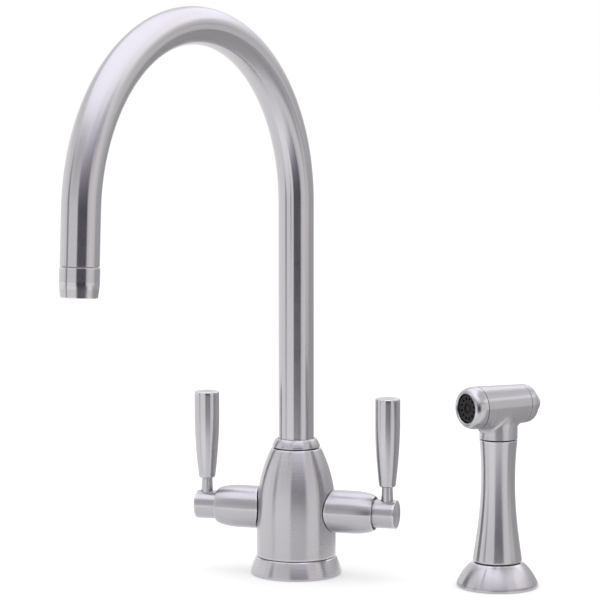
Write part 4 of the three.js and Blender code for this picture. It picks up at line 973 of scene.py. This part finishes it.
def nozzle():
    place = head_place()
    r, bore, spigot, spigot_end = HEAD_FRONT_RADIUS, 9.6, 11, NOZZLE_START - 4
    crown, seat = (NOZZLE_LIP + 0.3, NOZZLE_END), PLATE_BACK - 0.3
    piece("nozzle_ring", turned([
        (bore, spigot_end), (spigot, spigot_end), (spigot, NOZZLE_START), (r, NOZZLE_START, 0.35),
        (r, NOZZLE_START + 1.4),
        *bezier((r, NOZZLE_START + 1.5), (r - 0.1, 25.2), (13.2, 27.9), crown, 24),
        *bezier(crown, (NOZZLE_LIP - 0.3, NOZZLE_END), (PLATE_RADIUS + 0.3, NOZZLE_END - 0.3),
                (PLATE_RADIUS + 0.25, PLATE_FRONT + 0.3), 8),
        (PLATE_RADIUS + 0.2, seat), (bore, seat),
    ], place), "polished_steel")
    r, front, channel, dish = PLATE_RADIUS, PLATE_FRONT, PLATE_FRONT - 0.35, PLATE_FRONT - 1.2
    plate = turned([
        (0, PLATE_BACK), (r, PLATE_BACK), (r, front - 0.5, 0.2), (r - 0.5, front, 0.2),
        (r - 1.0, front, 0.1), (r - 1.3, channel, 0.1), (4.7, channel, 0.2), (4.4, front, 0.2),
        (3.7, front, 0.3), (3.5, dish, 0.2), (2.3, dish, 0.2), (2.0, front - 0.3, 0.4),
        (0, front - 0.1),
    ], place)
    jets = rods(JETS, JET_CIRCLE, JET_RADIUS, PLATE_BACK + 0.6, front + 1, place, 20, shift=0.5)
    piece("nozzle_plate", plate, mesh=drilled(plate.mesh("plate"), together(jets)))


def rear_end():
    place = head_place()
    r, hole, shoulder = HEAD_REAR_RADIUS, BUTTON_RADIUS + 0.3, 8.6
    recess, recess_end, spigot, spigot_end = 8.9, CAP_START - 1.5, 11, CAP_START + 3
    piece("rear_cap", turned([
        (hole, recess_end), (recess, recess_end), (recess, spigot_end), (spigot, spigot_end),
        (spigot, CAP_START), (r, CAP_START, 0.35),
        *bezier((r, CAP_START - 0.5), (r, CAP_START - 4.5), (shoulder + 4, CAP_END + 0.02),
                (shoulder, CAP_END), 20),
        (shoulder, CAP_END, 0.4), (hole, CAP_END - 0.02, 0.2),
    ], place))
    flange, flange_front, flange_back = 8.4, CAP_START - 1.2, CAP_START + 0.3
    piece("push_button", turned([
        (0, BUTTON_FACE), (2.2, BUTTON_FACE + 0.03), (4.4, BUTTON_FACE + 0.3, 1.0),
        (5.9, BUTTON_FACE + 1.2, 1.2), (BUTTON_RADIUS, BUTTON_FACE + 2.8, 1.0),
        (BUTTON_RADIUS, flange_front), (flange, flange_front), (flange, flange_back),
        (0, flange_back),
    ], place))


# ---------------------------------------------------------------- under the deck


def pipe(node, x, y, bore, pitch=PIPE_PITCH, depth=PIPE_THREAD, thread_to=math.inf):
    """A tube with an outside thread, which may end below the tube's top."""
    low, high = extent(node)
    outer = (high.x - low.x) / 2
    top = min(thread_to, high.z)
    line = thread_outline(outer, bore, low.z, top, pitch)
    if top < high.z - 1:
        line = line[:-2] + [(outer, top + 0.2), (outer, high.z, 0.3), (bore, high.z, 0.3)]
    shape = threaded(pitch, depth, low.z + 0.4, top - 0.4, outer)
    piece(node, turned(line, Matrix.Translation((x, y, 0)), THREAD_SIDES, shape))


def washer(node, x, crown=0.4):
    low, high = extent(node)
    outer = (high.x - low.x) / 2
    bore = outer - WASHER_WIDTH
    piece(node, turned([
        (bore, low.z, 0.2), (outer, low.z, crown), (outer, high.z, crown), (bore, high.z, 0.2),
    ], Matrix.Translation((x, 0, 0))))


def nut(node, x, wall):
    low, high = extent(node)
    apothem = (high.y - low.y) / 2
    corner = apothem / math.cos(math.pi / 6)
    bore = apothem - wall
    middle = (low.z + high.z) / 2
    chamfer = (corner - apothem) * 0.6
    piece(node, turned([
        (bore, low.z, 0.4), (apothem, low.z), (corner, low.z + chamfer), (corner, middle),
        (corner, high.z - chamfer), (apothem, high.z), (bore, high.z, 0.4),
    ], Matrix.Translation((x, 0, 0)), shape=hexagon(apothem)))


def under_deck():
    spray_x = spray_place().translation.x
    pipe("threaded_shank", 0, 0, bore=13.5)
    pipe("holder_shank", spray_x, 0, bore=12.5)
    washer("clamp_rubber_washer", 0, crown=0.8)
    washer("clamp_steel_washer", 0)
    washer("holder_washer", spray_x, crown=0.8)
    nut("lock_nut", 0, wall=6.2)
    nut("holder_nut", spray_x, wall=5)
    for node in ("cold_inlet_nipple", "hot_inlet_nipple", "spray_outlet_nipple"):
        low, high = extent(node)
        centre = (low + high) / 2
        pipe(node, centre.x, centre.y, bore=3.0, pitch=1.0, depth=0.45, thread_to=low.z + 12)


# ---------------------------------------------------------------- the other nodes


def carried_over():
    """Every CAD node that still shows keeps its solid and gets its slot's finish."""
    for name, node in frame["nodes"].items():
        if node.hide_render:
            continue
        finish = CAD_FINISHES[SLOT_OF_NODE[name]]
        if not node.material_slots:
            node.data.materials.append(finish)
        for used in node.material_slots:
            used.link = "OBJECT"
            used.material = finish


# ---------------------------------------------------------------- stage


def shown_rays(tree):
    """1 for what the camera, metal and glass see, 0 for the light that falls on things."""
    path = tree.nodes.new("ShaderNodeLightPath")
    total = path.outputs["Is Camera Ray"]
    for name in ("Is Glossy Ray", "Is Transmission Ray"):
        node = tree.nodes.new("ShaderNodeMath")
        node.operation = "ADD"
        node.use_clamp = True
        tree.links.new(total, node.inputs[0])
        tree.links.new(path.outputs[name], node.inputs[1])
        total = node.outputs[0]
    return total


def floor():
    """Plain white floor that keeps the shadows. The eye alone gets what it lacks of white."""
    half, tone, lift = 8.0, 0.9, 0.24
    mesh = bpy.data.meshes.new("floor")
    mesh.from_pydata([(-half, -half, 0), (half, -half, 0), (half, half, 0), (-half, half, 0)], [],
                     [(0, 1, 2, 3)])
    n = Nodes("floor")
    n.shader.inputs["Base Color"].default_value = (tone, tone, tone, 1)
    n.shader.inputs["Roughness"].default_value = 0.9
    n.shader.inputs["Specular IOR Level"].default_value = 0.0
    n.shader.inputs["Emission Color"].default_value = (1, 1, 1, 1)
    n.link(n.math("MULTIPLY", shown_rays(n.tree), lift), n.shader.inputs["Emission Strength"])
    n.material.cycles.emission_sampling = "NONE"
    mesh.materials.append(n.material)
    linked("floor", mesh)


def card_material(name, colour):
    """Gives off light by its level, and is see-through where its share is small."""
    n = Nodes(name)
    n.shader.inputs["Base Color"].default_value = (0, 0, 0, 1)
    n.shader.inputs["Specular IOR Level"].default_value = 0.0
    n.shader.inputs["Emission Color"].default_value = (*colour, 1)
    n.link(n.attribute("level", "Fac"), n.shader.inputs["Emission Strength"])
    n.link(n.attribute("share", "Fac"), n.shader.inputs["Alpha"])
    n.material.cycles.emission_sampling = "NONE"
    return n.material


def card(name, azimuths, rows, soft, colour=(1, 1, 1)):
    """A curved card round the faucet that only its reflections show.

    Azimuths are in degrees from the camera's own, rightwards positive. Each row across the card is
    (distance, height, level), in metres, and may end with azimuths of its own. soft is how many
    degrees the card takes to fade in at each side.
    """
    steps = 48
    vertices, faces, levels, shares = [], [], [], []
    for distance, height, level, *own in rows:
        left, right = own or azimuths
        for k in range(steps + 1):
            degrees = left + (right - left) * k / steps
            azimuth = math.radians(degrees) + CAMERA_AZIMUTH
            vertices.append((distance * math.sin(azimuth), -distance * math.cos(azimuth), height))
            levels.append(level)
            shares.append(min(1, (degrees - left) / soft, (right - degrees) / soft) if soft else 1)
    for row in range(len(rows) - 1):
        for k in range(steps):
            a = row * (steps + 1) + k
            faces.append((a, a + 1, a + steps + 2, a + steps + 1))
    mesh = bpy.data.meshes.new(name)
    mesh.from_pydata(vertices, [], faces)
    for key, values in (("level", levels), ("share", shares)):
        mesh.attributes.new(key, "FLOAT", "POINT").data.foreach_set("value", values)
    mesh.materials.append(card_material(name, colour))
    made = linked(name, mesh)
    made.visible_camera = False
    made.visible_diffuse = False
    made.visible_transmission = False
    made.visible_shadow = False


def stage():
    """The studio that the steel shows: dark low in front, pale at the sides and bright overhead.

    The spray flag hangs close to the spray and keeps the ceiling out of the top of its head.
    """
    floor()
    lilac, warm, sky = (0.97, 0.94, 1.08), (1.02, 1.0, 0.98), (1.0, 0.985, 1.05)
    card("camera_floor", (-17, 30), [
        (0.40, 0.003, 0.9), (0.52, 0.003, 0.32), (0.8, 0.003, 0.13), (1.75, 0.003, 0.08, -17, 60),
    ], 2, lilac)
    card("camera_screen", (-18, 62), [
        (1.75, 0.0, 0.03), (1.75, 0.18, 0.04), (1.75, 0.35, 0.07), (1.75, 0.50, 0.14),
        (1.75, 0.70, 0.30), (1.75, 0.93, 0.52), (1.75, 1.15, 0.80), (1.75, 1.50, 1.15),
    ], 3, lilac)
    card("right_panel", (27, 90), [(1.2, 0.0, 0.98), (1.2, 0.6, 1.02)], 8, warm)
    card("right_wall", (82, 168), [
        (2.41, 0.0, 0.62), (2.41, 0.4, 0.62), (2.41, 0.7, 0.75), (2.41, 1.1, 1.0),
        (2.41, 1.4, 1.08),
    ], 12)
    card("right_floor", (60, 172), [(0.10, 0.003, 0.60), (0.4, 0.003, 0.52), (2.4, 0.003, 0.52)], 6)
    card("left_gap", (-76, -62), [
        (1.0, 0.003, 0.4), (2.4, 0.003, 0.3), (2.4, 0.7, 0.35), (2.4, 1.3, 0.6), (2.4, 1.8, 0.85),
    ], 4)
    card("left_panel", (-145, -84), [(2.4, 0.0, 1.16), (2.4, 1.0, 1.16)], 8)
    # near_floor glows brighter than the world, a painted pool of light on the floor. Its row
    # closest to the faucet is dimmer, a painted shadow. Only reflections show it.
    card("near_floor", (-66, 16), [
        (0.20, 0.004, 1.1), (0.28, 0.004, 1.55), (0.38, 0.004, 1.4), (0.40, 0.004, 1.35, -66, -18),
        (0.7, 0.004, 1.25, -66, -18),
    ], 8)
    card("upper_left", (-62, -12), [
        (2.38, 0.42, 1.0), (2.38, 0.70, 0.84), (2.38, 1.28, 0.70), (2.38, 2.42, 0.64),
    ], 6)
    card("upper_right", (22, 112), [
        (2.4, 1.15, 1.0), (2.4, 1.4, 1.35), (2.4, 1.8, 1.6), (2.4, 2.4, 1.75),
    ], 10, warm)
    card("spray_flag", (40, 118), [(0.19, 0.40, 0.95), (0.23, 0.37, 0.85), (0.35, 0.29, 0.95)], 12)
    card("upper_back", (102, 178), [
        (2.41, 1.3, 1.1), (2.41, 1.55, 1.7), (2.41, 2.39, 1.9),
    ], 10, sky)
    card("ceiling", (-180, 180), [(0.01, 2.42, 1.8), (1.3, 2.42, 1.75), (2.4, 2.42, 1.6)], 0, sky)


def lights():
    world = bpy.data.worlds.new("studio")
    bpy.context.scene.world = world
    world.use_nodes = True
    world.cycles.sampling_method = "NONE"
    tree = world.node_tree
    background = tree.nodes["Background"]
    background.inputs["Color"].default_value = (1, 1, 1, 1)
    level = tree.nodes.new("ShaderNodeMapRange")
    level.inputs["To Min"].default_value = 0.92
    level.inputs["To Max"].default_value = 1.0
    tree.links.new(shown_rays(tree), level.inputs["Value"])
    tree.links.new(level.outputs[0], background.inputs["Strength"])
    overhead = bpy.data.lights.new("overhead", "AREA")
    overhead.shape = "RECTANGLE"
    overhead.size, overhead.size_y = 1.6, 1.2
    overhead.energy = 5  # watts
    lamp = linked("overhead", overhead)
    lamp.location = (-0.2, 0.1, 2.3)
    lamp.visible_glossy = False


def camera():
    made = linked("camera", bpy.data.cameras.new("camera"))
    right = CAMERA_FORWARD.cross(CAMERA_UP)
    turn = Matrix((right, CAMERA_UP, -CAMERA_FORWARD)).transposed()
    made.matrix_world = Matrix.Translation(CAMERA_PLACE) @ turn.to_4x4()
    made.data.lens = CAMERA_LENS
    made.data.sensor_width = 36
    made.data.clip_end = 100
    bpy.context.scene.camera = made


# ---------------------------------------------------------------- the whole scene

body_shell()
base_flange()
spout_collar()
spout()
arm_height = sum(c.z for c in extent("cold_lever_hub")) / 2
for side_name, side_turn in (("cold", 0.0), ("hot", math.pi)):
    side_place = arm(side_name, side_turn, arm_height)
    lever(side_name, side_turn, arm_height, side_place)
holder()
spray_grip()
hose_end()
spray_head()
nozzle()
rear_end()
under_deck()
carried_over()
stage()
lights()
camera()
bpy.context.scene.view_settings.view_transform = "Standard"
